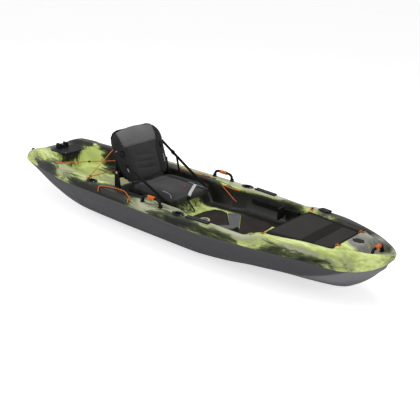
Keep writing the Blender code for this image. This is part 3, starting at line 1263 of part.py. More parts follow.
def main():
    remove_all()
    mats = {
        "hull": material("hull_polyethylene", (0.075, 0.074, 0.076), 0.45),
        "deck": material("deck_polyethylene", (0.44, 0.60, 0.16), 0.42),
        "foam": material("closed_cell_foam", (0.80, 0.80, 0.78), 0.9),
        "black_plastic": material("black_plastic", (0.02, 0.02, 0.02), 0.45),
        "pad_dark": material("dark_foam_pad", (0.027, 0.024, 0.025), 0.85),
        "pad_grey": material("grey_foam_pad", (0.15, 0.15, 0.155), 0.85),
        "track": material("anodised_track", (0.03, 0.03, 0.032), 0.35, 0.6),
        "rail": material("glass_filled_nylon", (0.018, 0.018, 0.018), 0.5),
        "rubber": material("black_rubber", (0.02, 0.02, 0.02), 0.6),
        "orange_rubber": material("orange_rubber", (0.75, 0.19, 0.02), 0.55),
        "steel": material("stainless_steel", (0.6, 0.6, 0.6), 0.3, 1.0),
        "seat_fabric": material("grey_seat_fabric", (0.075, 0.075, 0.078), 0.9),
        "black_fabric": material("black_mesh_fabric", (0.012, 0.012, 0.013), 0.9),
        "webbing": material("black_webbing", (0.012, 0.012, 0.012), 0.8),
        "silver_webbing": material("silver_webbing", (0.58, 0.57, 0.55), 0.6),
        "cover": material("cover_fabric", (0.045, 0.043, 0.042), 0.85),
        "cord": material("orange_shock_cord", (0.70, 0.19, 0.03), 0.7),
        "black_cord": material("black_shock_cord", (0.015, 0.015, 0.015), 0.7),
    }
    deck = build_shells(mats)
    build_bosses(deck)
    build_foam(mats)
    build_stern(mats)
    build_drain_plug(deck, mats)
    build_pads(mats)
    build_tracks(mats)
    build_rod_holders(deck, mats)
    build_foot_braces(mats)
    build_handles(mats)
    build_seat(mats)
    build_back(mats)
    build_webbing(mats)
    build_front_strap(mats)
    build_cover(mats)
    build_cover_cord(mats)
    build_tank_bungee(mats)
    build_side_cords(mats)
    build_badge(mats)


main()
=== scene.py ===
"""Looks of a sit-on-top fishing kayak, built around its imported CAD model."""
import math

import bmesh
import bpy
import numpy as np
from mathutils import Matrix, Vector


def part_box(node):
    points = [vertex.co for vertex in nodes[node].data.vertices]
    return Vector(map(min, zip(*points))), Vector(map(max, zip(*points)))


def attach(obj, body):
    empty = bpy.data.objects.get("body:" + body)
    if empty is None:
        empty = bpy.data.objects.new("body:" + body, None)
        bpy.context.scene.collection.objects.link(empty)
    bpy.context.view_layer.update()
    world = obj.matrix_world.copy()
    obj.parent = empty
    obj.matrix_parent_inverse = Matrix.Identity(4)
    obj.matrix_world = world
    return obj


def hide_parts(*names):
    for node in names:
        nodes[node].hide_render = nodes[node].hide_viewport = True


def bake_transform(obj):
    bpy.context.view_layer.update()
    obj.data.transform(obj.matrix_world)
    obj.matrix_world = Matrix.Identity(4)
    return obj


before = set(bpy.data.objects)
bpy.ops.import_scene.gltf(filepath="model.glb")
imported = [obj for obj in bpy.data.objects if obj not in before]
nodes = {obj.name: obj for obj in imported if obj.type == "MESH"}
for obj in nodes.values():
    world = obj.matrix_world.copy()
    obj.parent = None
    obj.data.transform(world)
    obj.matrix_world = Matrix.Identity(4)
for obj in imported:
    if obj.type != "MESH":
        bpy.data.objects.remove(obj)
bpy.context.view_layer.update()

# Camera: a long lens off the starboard bow that looks down on the kayak, rolled slightly as
# in the photograph. Angles are in radians.
CAMERA_TURN = 0.664
CAMERA_RISE = 0.372
CAMERA_ROLL = 0.053
CAMERA_REACH = 5.438
CAMERA_TARGET = Vector((0.164, 0.0, 0.249))
CAMERA_LENS, CAMERA_SENSOR = 66.41, 36.0
CAMERA_FAR = 60.0

back = Vector((math.sin(CAMERA_TURN) * math.cos(CAMERA_RISE),
               -math.cos(CAMERA_TURN) * math.cos(CAMERA_RISE), math.sin(CAMERA_RISE)))
right = Vector((math.cos(CAMERA_TURN), math.sin(CAMERA_TURN), 0.0))
up = back.cross(right)
turned = right * math.cos(CAMERA_ROLL) + up * math.sin(CAMERA_ROLL)
upright = up * math.cos(CAMERA_ROLL) - right * math.sin(CAMERA_ROLL)
lens = bpy.data.cameras.new("camera")
lens.sensor_width = CAMERA_SENSOR
lens.lens = CAMERA_LENS
lens.clip_end = CAMERA_FAR
camera = bpy.data.objects.new("camera", lens)
camera.matrix_world = Matrix((turned, upright, back)).transposed().to_4x4()
camera.matrix_world.translation = CAMERA_TARGET + back * CAMERA_REACH
bpy.context.scene.collection.objects.link(camera)
bpy.context.scene.camera = camera

# Studio: a large soft lamp overhead, a lower one off the starboard quarter and a weak one
# off the bow, in a pale room with a pale floor just under the keel.
scene = bpy.context.scene
scene.view_settings.view_transform = "Standard"
ROOM_LIGHT = 0.34
FLOOR_REACH, FLOOR_Z = 14.0, -0.0015
FLOOR_GLOW = 0.66


def colour(code):
    """Linear colour of an sRGB hex value."""
    parts = [int(code[i:i + 2], 16) / 255 for i in (1, 3, 5)]
    linear = [p / 12.92 if p <= 0.04045 else ((p + 0.055) / 1.055) ** 2.4 for p in parts]
    return (*linear, 1.0)


def feed(tree, made, links):
    """Links (input, source) pairs; a source is a socket, or a node for its first output."""
    for socket, source in links:
        output = source if isinstance(source, bpy.types.NodeSocket) else source.outputs[0]
        tree.links.new(output, made.inputs[socket])


def node(tree, kind, links=(), **values):
    """Adds a node and its links. Values are inputs, as in_NAME or in_NUMBER, or settings."""
    made = tree.nodes.new(kind)
    for key, value in values.items():
        if key.startswith("in_"):
            name = key[3:].replace("_", " ")
            made.inputs[int(name) if name.isdigit() else name].default_value = value
        else:
            setattr(made, key, value)
    feed(tree, made, links)
    return made


def material(name, **values):
    """A new material, its tree, and its Principled shader with these inputs set."""
    made = bpy.data.materials.new(name)
    made.use_nodes = True
    shader = made.node_tree.nodes["Principled BSDF"]
    for key, value in values.items():
        shader.inputs[key.replace("_", " ")].default_value = value
    return made, made.node_tree, shader


def lamp(name, place, aim, size, power):
    """Soft rectangular lamp that looks from its place to aim; size in metres, power in watts."""
    light = bpy.data.lights.new(name, "AREA")
    light.shape = "RECTANGLE"
    light.size, light.size_y = size
    light.energy = power
    made = bpy.data.objects.new(name, light)
    made.location = place
    made.rotation_euler = (Vector(aim) - Vector(place)).to_track_quat("-Z", "Y").to_euler()
    scene.collection.objects.link(made)


lamp("overhead", (0.3, 0.2, 4.2), (0.0, 0.0, 0.2), (4.5, 3.0), 92.0)
lamp("key", (-2.6, -3.6, 2.8), (0.0, 0.0, 0.3), (2.5, 2.0), 62.0)
lamp("bow_fill", (4.6, -1.6, 1.6), (1.0, 0.0, 0.2), (2.0, 2.0), 30.0)

world = bpy.data.worlds.new("studio")
world.use_nodes = True
scene.world = world
tree = world.node_tree
path = node(tree, "ShaderNodeLightPath")
seen = node(tree, "ShaderNodeMath", [(0, path.outputs["Is Camera Ray"]),
                                     (1, path.outputs["Is Glossy Ray"])], operation="MAXIMUM")
seen = node(tree, "ShaderNodeMath", [(0, seen), (1, path.outputs["Is Transmission Ray"])],
            operation="MAXIMUM")
glow = node(tree, "ShaderNodeMapRange", [("Value", seen)], in_3=ROOM_LIGHT, in_4=1.0)
sky = tree.nodes["Background"]
sky.inputs["Color"].default_value = colour("#fbfbfc")
feed(tree, sky, [("Strength", glow)])

mesh = bpy.data.meshes.new("floor")
mesh.from_pydata([(FLOOR_REACH * x, FLOOR_REACH * y, FLOOR_Z)
                  for x, y in ((-1, -1), (1, -1), (1, 1), (-1, 1))], [], [(0, 1, 2, 3)])
floor = bpy.data.objects.new("floor", mesh)
scene.collection.objects.link(floor)
paper, tree, shader = material("white_paper", Base_Color=colour("#f0f0f1"), Roughness=0.9,
                               Specular_IOR_Level=0.1, Emission_Color=colour("#ffffff"))
path = node(tree, "ShaderNodeLightPath")
seen = node(tree, "ShaderNodeMath", [(0, path.outputs["Is Camera Ray"])], operation="MULTIPLY",
            in_1=FLOOR_GLOW)
feed(tree, shader, [("Emission Strength", seen)])
mesh.materials.append(paper)

# Hull: the lower moulding, dark grey rotomoulded polyethylene. Its skin has the faint
# orange peel of the mould, and it meets the deck in one seam all round.
LENGTH = 3.15
BEAM = 0.87
SHELL_WALL = 0.005
TOUCH_GAP = 0.0003
STERN, BOW = -LENGTH / 2, LENGTH / 2
NOSE_ROUNDING = 22
NOSE_OVERHANG = 0.045
# Share of the half length from stern (-1) to bow (+1), then the value
HALF_BREADTH = [(-1.0, 0.490), (-0.985, 0.520), (-0.95, 0.545), (-0.89, 0.60), (-0.76, 0.735),
                (-0.635, 0.84), (-0.51, 0.92), (-0.38, 0.966), (-0.25, 0.99), (-0.08, 1.0),
                (0.07, 1.0), (0.21, 0.985), (0.40, 0.925), (0.53, 0.860), (0.655, 0.765),
                (0.78, 0.630), (0.86, 0.510), (0.92, 0.395), (1.0, 0.230)]
SEAM_HEIGHT = [(-1.0, 0.264), (-0.94, 0.254), (-0.74, 0.266), (-0.60, 0.268), (-0.48, 0.280),
               (-0.30, 0.288), (-0.05, 0.286), (0.27, 0.268), (0.46, 0.278), (0.65, 0.280),
               (0.77, 0.268), (0.85, 0.252), (0.90, 0.256), (0.945, 0.270), (0.971, 0.285),
               (1.0, 0.335)]
KEEL_HEIGHT = [(-1.0, 0.248), (-0.985, 0.228), (-0.965, 0.206), (-0.835, 0.096), (-0.74, 0.046),
               (-0.615, 0.010), (-0.52, 0.0), (0.50, 0.0), (0.616, 0.006), (0.743, 0.024),
               (0.804, 0.046), (0.859, 0.094), (0.913, 0.163), (0.950, 0.228), (0.972, 0.266),
               (1.0, 0.335)]
FULLNESS = [(-1.0, 0.5), (-0.6, 1.0), (0.14, 1.0), (0.30, 0.72), (0.47, 0.22), (0.62, 0.0),
            (1.0, 0.0)]
# Share of the half breadth, then the rise in a full and in a veed section
HULL_SECTION = [(1.0, 1.0, 1.0), (0.965, 0.77, 0.72), (0.88, 0.52, 0.54), (0.70, 0.24, 0.43),
                (0.50, 0.06, 0.31), (0.28, 0.0, 0.16), (0.0, 0.0, 0.0)]
HULL_ROWS = 240


def read(table, x):
    """Monotone cubic through (x, value) pairs, level between equal values."""
    keys = [row[0] for row in table]
    runs = [b - a for a, b in zip(keys, keys[1:])]
    rises = [(b[1] - a[1]) / run for a, b, run in zip(table, table[1:], runs)]
    slopes = [rises[0]]
    for low, high in zip(rises, rises[1:]):
        slopes.append(0.0 if low * high <= 0 else 2 * low * high / (low + high))
    slopes.append(rises[-1])
    x = min(max(x, keys[0]), keys[-1])
    i = min(int(np.searchsorted(keys, x, "right")) - 1, len(runs) - 1)
    run, t = runs[i], (x - keys[i]) / runs[i]
    return ((1 + 2 * t) * (1 - t) ** 2 * table[i][1] + t * (1 - t) ** 2 * run * slopes[i]
            + t * t * (3 - 2 * t) * table[i + 1][1] - t * t * (1 - t) * run * slopes[i + 1])


def half_breadth(x, bow=BOW):
    """Half width of the gunwale, with the nose rounded off in plan."""
    nose = math.sqrt(max(0.0, 1 - (max(0.0, x) / bow) ** NOSE_ROUNDING))
    return BEAM / 2 * read(HALF_BREADTH, x / BOW) * nose


def seam_breadth(x):
    """Half width at the seam, whose nose ends under the deck's overhang."""
    return half_breadth(x, BOW - NOSE_OVERHANG)


def seam_z(x):
    """Height of the seam between hull and deck."""
    return read(SEAM_HEIGHT, x / BOW)


def rounded(points, radii, steps=4):
    """The line through points with each inner corner turned into a short curve."""
    line = [points[0]]
    for before, corner, after, radius in zip(points, points[1:], points[2:], radii[1:]):
        corner, into, out = Vector(corner), Vector(before), Vector(after)
        first, last = into - corner, out - corner
        reach = min(radius, first.length * 0.45, last.length * 0.45)
        start = corner + first.normalized() * reach if first.length > 1e-9 else corner
        end = corner + last.normalized() * reach if last.length > 1e-9 else corner
        for k in range(steps + 1):
            t = k / steps
            line.append(tuple(start * (1 - t) ** 2 + corner * 2 * t * (1 - t) + end * t * t))
    line.append(points[-1])
    return line


def add_object(name, mesh, finish, angle=40.0):
    """Links a mesh in one material, shaded smooth up to the angle in degrees."""
    mesh.materials.clear()
    mesh.materials.append(finish)
    mesh.shade_smooth()
    mesh.set_sharp_from_angle(angle=math.radians(angle))
    made = bpy.data.objects.new(name, mesh)
    scene.collection.objects.link(made)
    return made


def shell_mesh(name, rows, wall, facing, finish):
    """Skin through rows of points, thickened inwards; facing is the way most of it looks."""
    bm = bmesh.new()
    grid = [[bm.verts.new(p) for p in row] for row in rows]
    for low, high in zip(grid, grid[1:]):
        for j in range(len(low) - 1):
            bm.faces.new((low[j], high[j], high[j + 1], low[j + 1]))
    bmesh.ops.remove_doubles(bm, verts=bm.verts, dist=2e-5)
    bmesh.ops.dissolve_degenerate(bm, edges=bm.edges, dist=1e-6)
    bmesh.ops.recalc_face_normals(bm, faces=bm.faces)
    if sum(face.normal.z * face.calc_area() for face in bm.faces) * facing < 0:
        bmesh.ops.reverse_faces(bm, faces=bm.faces)
    mesh = bpy.data.meshes.new(name)
    bm.to_mesh(mesh)
    bm.free()
    made = add_object(name, mesh, finish)
    thick = made.modifiers.new("wall", "SOLIDIFY")
    thick.thickness = wall
    thick.offset = -1.0
    thick.use_even_offset = False
    return made


def plain(made):
    """Applies the modifiers of a piece: its evaluated mesh becomes its own mesh."""
    bpy.context.view_layer.update()
    shaped = bpy.data.meshes.new_from_object(
        made.evaluated_get(bpy.context.evaluated_depsgraph_get()))
    made.modifiers.clear()
    old = made.data
    made.data = shaped
    shaped.name = made.name
    bpy.data.meshes.remove(old)
    return made


def spaced(start, end, count, crowd=0.48):
    """Places along the boat, closer together at its ends."""
    shares = np.linspace(0.0, 1.0, count)
    eased = shares - crowd * np.sin(2 * math.pi * shares) / (2 * math.pi)
    return [start + (end - start) * float(s) for s in eased]


def mirrored(x, half):
    """Whole section at x, starboard to port, from the (y, z) points of its half."""
    return [(x, -y, z) for y, z in half] + [(x, y, z) for y, z in half[-2::-1]]


def belongs(made, replaced, slot, body="kayak"):
    """Hides the CAD node that a piece stands for, if any, and hangs the piece on what it rides on;
    slot is not used.
    """
    if replaced:
        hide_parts(replaced)
    if body:
        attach(made, body)
    return made


def polyethylene(name, roughness):
    """Rotomoulded polyethylene: a waxy half gloss with orange peel 6 mm across and scuffs."""
    finish, tree, shader = material(name, IOR=1.51, Specular_IOR_Level=0.25)
    place = node(tree, "ShaderNodeTexCoord").outputs["Object"]
    peel = node(tree, "ShaderNodeTexNoise", [("Vector", place)], in_Scale=170.0, in_Detail=2.0)
    scuff = node(tree, "ShaderNodeTexNoise", [("Vector", place)], in_Scale=14.0, in_Detail=5.0,
                 in_Roughness=0.65)
    wear = node(tree, "ShaderNodeMapRange", [("Value", scuff)], in_1=0.35, in_2=0.75,
                in_3=roughness - 0.06, in_4=roughness + 0.10)
    bump = node(tree, "ShaderNodeBump", [("Height", peel)], in_Strength=0.16, in_Distance=0.0012)
    feed(tree, shader, [("Roughness", wear), ("Normal", bump)])
    return finish, tree, shader, place


# Light catches the flat below the chine, which climbs to the seam at the bow
HULL_GREY, HULL_PALE, HULL_DARK = colour("#504f52"), colour("#868488"), colour("#454447")
CHINE_START, CHINE_END = 0.90, 1.52
CHINE_LOW, CHINE_CLIMB, CHINE_CURVE = 0.145, 0.18, 1.7
CHINE_BLUR = 0.016
PALE_FROM, PALE_TO = 0.50, 1.25
hull_plastic, tree, shader, place = polyethylene("grey_polyethylene", 0.42)
axes = node(tree, "ShaderNodeSeparateXYZ", [("Vector", place)])
climb = node(tree, "ShaderNodeMapRange", [("Value", axes.outputs["X"])], in_1=CHINE_START,
             in_2=CHINE_END)
climb = node(tree, "ShaderNodeMath", [(0, climb)], operation="POWER", in_1=CHINE_CURVE)
chine = node(tree, "ShaderNodeMath", [(0, climb)], operation="MULTIPLY_ADD",
             in_1=CHINE_CLIMB, in_2=CHINE_LOW)
under = node(tree, "ShaderNodeMath", [(0, chine), (1, axes.outputs["Z"])], operation="SUBTRACT")
under = node(tree, "ShaderNodeMapRange", [("Value", under)], interpolation_type="SMOOTHSTEP",
             in_1=0.0, in_2=CHINE_BLUR)
ahead = node(tree, "ShaderNodeMapRange", [("Value", axes.outputs["X"])], in_1=PALE_FROM,
             in_2=PALE_TO)
band = node(tree, "ShaderNodeMath", [(0, under), (1, ahead)], operation="MULTIPLY")
tint = node(tree, "ShaderNodeMix", [("Factor", band)], data_type="RGBA", in_6=HULL_GREY,
            in_7=HULL_PALE)
cloud = node(tree, "ShaderNodeTexNoise", [("Vector", place)], in_Scale=3.0, in_Detail=3.0)
cloud = node(tree, "ShaderNodeMapRange", [("Value", cloud)], in_1=0.40, in_2=0.80, in_3=0.0,
             in_4=0.5)
tint = node(tree, "ShaderNodeMix", [("Factor", cloud), (6, tint.outputs[2])], data_type="RGBA",
            in_7=HULL_DARK)
feed(tree, shader, [("Base Color", tint.outputs[2])])


def hull_half(x):
    """Half section of the hull from the seam to the keel."""
    breadth, keel, full = seam_breadth(x), read(KEEL_HEIGHT, x / BOW), read(FULLNESS, x / BOW)
    rise = seam_z(x) - keel
    points = [(breadth * u, keel + rise * (full * a + (1 - full) * b)) for u, a, b in HULL_SECTION]
    return rounded(points, [0, 0.05, 0.05, 0.06, 0.05, 0.03], 5)


rows = []
for x in spaced(STERN, BOW - NOSE_OVERHANG, HULL_ROWS):
    rows.append(mirrored(x, hull_half(x)))
rows.insert(0, [(STERN, y, seam_z(STERN)) for _, y, _ in rows[0]])
hull = plain(shell_mesh("hull_moulding", rows, SHELL_WALL, -1, hull_plastic))
belongs(hull, "hull_shell", "hull")

# Deck: the upper moulding, one skin of polyethylene from gunwale to gunwale with the stern
# deck, tank well, seat deck, footwell and bow well sunk into it. Lime, cream and black
# powders were tipped into the mould together, so they run into each other in swirls. Some
# of the dark swirls listed below are painted shade instead, as marked there.
GUNWALE_HEIGHT = [(-1.0, 0.312), (-0.985, 0.326), (-0.962, 0.346), (-0.93, 0.368), (-0.89, 0.382),
                  (-0.84, 0.380), (-0.76, 0.364), (-0.64, 0.354), (-0.47, 0.346), (-0.35, 0.346),
                  (-0.29, 0.338), (0.45, 0.338), (0.51, 0.358), (0.59, 0.364), (0.70, 0.374),
                  (0.95, 0.374), (1.0, 0.362)]
STERN_DECK_Z = 0.350
TANK_FLOOR_Z = 0.200
SEAT_DECK_Z = 0.270
FOOT_FLOOR_Z = 0.185
BRIDGE_Z = 0.340
BOW_WELL_Z = 0.200
BOW_PANEL_RISE = 0.004
BOW_GROOVE = 0.016
BOW_PAD_Z = 0.330
WALL_RUN = 0.035
WELL_DRAFT = 0.024
COVER_FRONT = 1.243
COVER_LEDGE = 0.030
LEDGE_REAR, LEDGE_FRONT, LEDGE_EASE = 0.790, COVER_FRONT + 0.021, 0.010
BADGE_X = 1.325
MOULD_EASE = 0.009


def gunwale_z(x):
    """Height of the gunwale's flat top."""
    return read(GUNWALE_HEIGHT, x / BOW)


PANEL_Z = gunwale_z(COVER_FRONT) + BOW_PANEL_RISE
LOBE_Y, TANK_HALF, SEAT_HALF, FOOT_HALF, BRIDGE_HALF = 0.155, 0.300, 0.302, 0.343, 0.266
TANK_REAR, TANK_FRONT, SEAT_FRONT, FOOT_FRONT = -1.295, -0.625, -0.095, 0.765
BOW_WELL_REAR, BOW_WELL_FRONT = 0.835, 1.215
BOW_PAD_REAR, BOW_PAD_FRONT = 1.415, 1.472
# x, half width at the top of the walls, how far they lean in to the floor, and its height
WELLS = [(x, mouth, mouth - lean, floor_z) for x, mouth, lean, floor_z in (
    (STERN, LOBE_Y, WELL_DRAFT, gunwale_z(STERN)),
    (STERN + 0.03, LOBE_Y, WELL_DRAFT, gunwale_z(STERN + 0.03)),
    (STERN + 0.10, LOBE_Y, WELL_DRAFT, STERN_DECK_Z),
    (TANK_REAR, LOBE_Y + WELL_DRAFT, WELL_DRAFT, STERN_DECK_Z),
    (TANK_REAR + WALL_RUN, LOBE_Y + 2 * WELL_DRAFT, WELL_DRAFT, TANK_FLOOR_Z),
    (-1.065, 0.265, WELL_DRAFT, TANK_FLOOR_Z),
    (-0.845, TANK_HALF, WELL_DRAFT, TANK_FLOOR_Z),
    (TANK_FRONT, TANK_HALF, WELL_DRAFT, TANK_FLOOR_Z),
    (TANK_FRONT + WALL_RUN, TANK_HALF, WELL_DRAFT / 2, SEAT_DECK_Z),
    (SEAT_FRONT, SEAT_HALF, WELL_DRAFT, SEAT_DECK_Z),
    (SEAT_FRONT + 2 * WALL_RUN, SEAT_HALF, 2 * WELL_DRAFT, FOOT_FLOOR_Z),
    (0.150, SEAT_HALF, 2 * WELL_DRAFT, FOOT_FLOOR_Z),
    (0.250, FOOT_HALF, 2 * WELL_DRAFT, FOOT_FLOOR_Z),
    (0.710, FOOT_HALF, 2 * WELL_DRAFT, FOOT_FLOOR_Z),
    (FOOT_FRONT, 0.286, 0.044, FOOT_FLOOR_Z),
    (FOOT_FRONT + WALL_RUN, 0.272, 0.030, BRIDGE_Z),
    (BOW_WELL_REAR, BRIDGE_HALF, WELL_DRAFT, BRIDGE_Z),
    (BOW_WELL_REAR + WALL_RUN, 0.261, WELL_DRAFT, BOW_WELL_Z),
    (BOW_WELL_FRONT - WALL_RUN, 0.211, WELL_DRAFT, BOW_WELL_Z),
    (BOW_WELL_FRONT, 0.206, WELL_DRAFT, BRIDGE_Z),
    (COVER_FRONT + 0.010, 0.202, WELL_DRAFT, BRIDGE_Z),
    (COVER_FRONT + 0.020, 0.200, WELL_DRAFT, PANEL_Z),
    (COVER_FRONT + 0.050, 0.186, WELL_DRAFT, PANEL_Z),
    (BADGE_X + 0.046, 0.140, 0.026, PANEL_Z),
    (BOW_PAD_REAR, 0.118, WELL_DRAFT / 2, BOW_PAD_Z),
    (BOW_PAD_FRONT, 0.104, WELL_DRAFT / 2, BOW_PAD_Z),
    (BOW, 0.0, 0.0, gunwale_z(BOW)))]
# x and the depth of the groove on both sides of the bow panel
GROOVES = [(COVER_FRONT + 0.020, 0.0), (COVER_FRONT + 0.050, BOW_GROOVE),
           (BADGE_X + 0.046, BOW_GROOVE), (BOW_PAD_REAR, 0.0)]
GUNWALE_LAND, LEAST_LEAN = 0.044, 0.012
WALL_TOP, WALL_FOOT = 0.008, 0.012
# How far in from the gunwale's edge and how far below its top its rounded edge runs
GUNWALE_EDGE = ((0.006, 0.024), (0.013, 0.007), (0.026, 0.0))


def well(x, column, table=WELLS):
    """One column of a table at x, eased over the radius that the mould has there."""
    near = x + np.linspace(-MOULD_EASE, MOULD_EASE, 7)
    values = np.interp(near, [row[0] for row in table], [row[column] for row in table])
    return float(values.mean())


def deck_half(x, radii=(0, 0.02, 0.016, 0.012, 0.012, 0.012, 0.010, 0.03, 0.016, 0.02, 0.05)):
    """Half section of the deck from the seam to the middle, with the mould's radii."""
    breadth = half_breadth(x)
    ease = min(1.0, breadth / 0.12)
    seam = seam_z(x) + TOUCH_GAP
    foot_y = min(seam_breadth(x), breadth)
    flare = breadth - foot_y
    top = gunwale_z(x)
    mouth = min(well(x, 1), breadth - GUNWALE_LAND * ease)
    floor = min(well(x, 2), mouth - LEAST_LEAN * ease)
    floor_z, groove = well(x, 3), well(x, 1, GROOVES) * ease
    lean, depth = mouth - floor, top - floor_z
    foot = min(WALL_FOOT, max(0.0, depth) / 4)
    inset = 0.010 * ease * min(1.0, max(0.0, depth) / 0.08)
    wall = [(mouth, top - WALL_TOP * ease), (mouth - lean / 4, top - depth / 2 - groove),
            (floor + lean / 4, floor_z + foot - groove), (floor - inset, floor_z)]
    # A level ledge round the bow well carries the cover
    edge = mouth - COVER_LEDGE - 0.006
    ledge = [(mouth, BRIDGE_Z), (mouth - COVER_LEDGE, BRIDGE_Z),
             (edge, min(BRIDGE_Z, floor_z + foot)), (edge - inset, floor_z)]
    share = min(1.0, (x - LEDGE_REAR) / LEDGE_EASE, (LEDGE_FRONT - x) / LEDGE_EASE)
    share = max(0.0, share) if LEDGE_REAR < x < LEDGE_FRONT else 0.0
    inner = [tuple(Vector(a).lerp(Vector(b), share)) for a, b in zip(wall, ledge)]
    half = [(foot_y, seam), (breadth - 0.003 * ease - 0.35 * flare, seam + 0.4 * (top - seam))]
    half += [(breadth - away * ease, top - drop * ease) for away, drop in GUNWALE_EDGE]
    half += [(mouth + 0.012 * ease, top)] + inner + [(inner[-1][0] / 2, floor_z), (0.0, floor_z)]
    return rounded(half, radii, 3)


def bar(bm, radius, low, high, sides=40):
    """Adds a closed upright cylinder between two points one above the other."""
    turn = Matrix.Translation((Vector(low) + Vector(high)) / 2)
    bmesh.ops.create_cone(bm, cap_ends=True, segments=sides, radius1=radius, radius2=radius,
                          depth=high[2] - low[2], matrix=turn)


def combine(target, bm, operation):
    """Joins a closed bmesh to a piece, or cuts it out, and leaves a plain mesh."""
    mesh = bpy.data.meshes.new("tool")
    bm.to_mesh(mesh)
    bm.free()
    tool = bpy.data.objects.new("tool", mesh)
    scene.collection.objects.link(tool)
    step = target.modifiers.new("tool", "BOOLEAN")
    step.operation, step.object, step.solver = operation, tool, "EXACT"
    plain(target)
    bpy.data.objects.remove(tool, do_unlink=True)
    bpy.data.meshes.remove(mesh)


HOLDER_SPOTS = [("rear", -0.648, 0.054), ("mid", 0.200, 0.048)]
HOLDER_BORE = 0.0200
HOLDER_TUBE = 0.0230
BOSS_AT = (0.387, -0.334)
RECESS_AT = (0.759, -0.325)
RECESS_RADIUS = 0.021

deck_plastic, tree, shader, place = polyethylene("marbled_polyethylene", 0.40)
LIME, YELLOW, CREAM = colour("#ecf9a2"), colour("#c0cf78"), colour("#acae88")
GREY_GREEN, OLIVE, MOSS = colour("#858f60"), colour("#5a663a"), colour("#384226")
BLACK_GREEN, PANEL_GREY = colour("#1a1915"), colour("#787773")
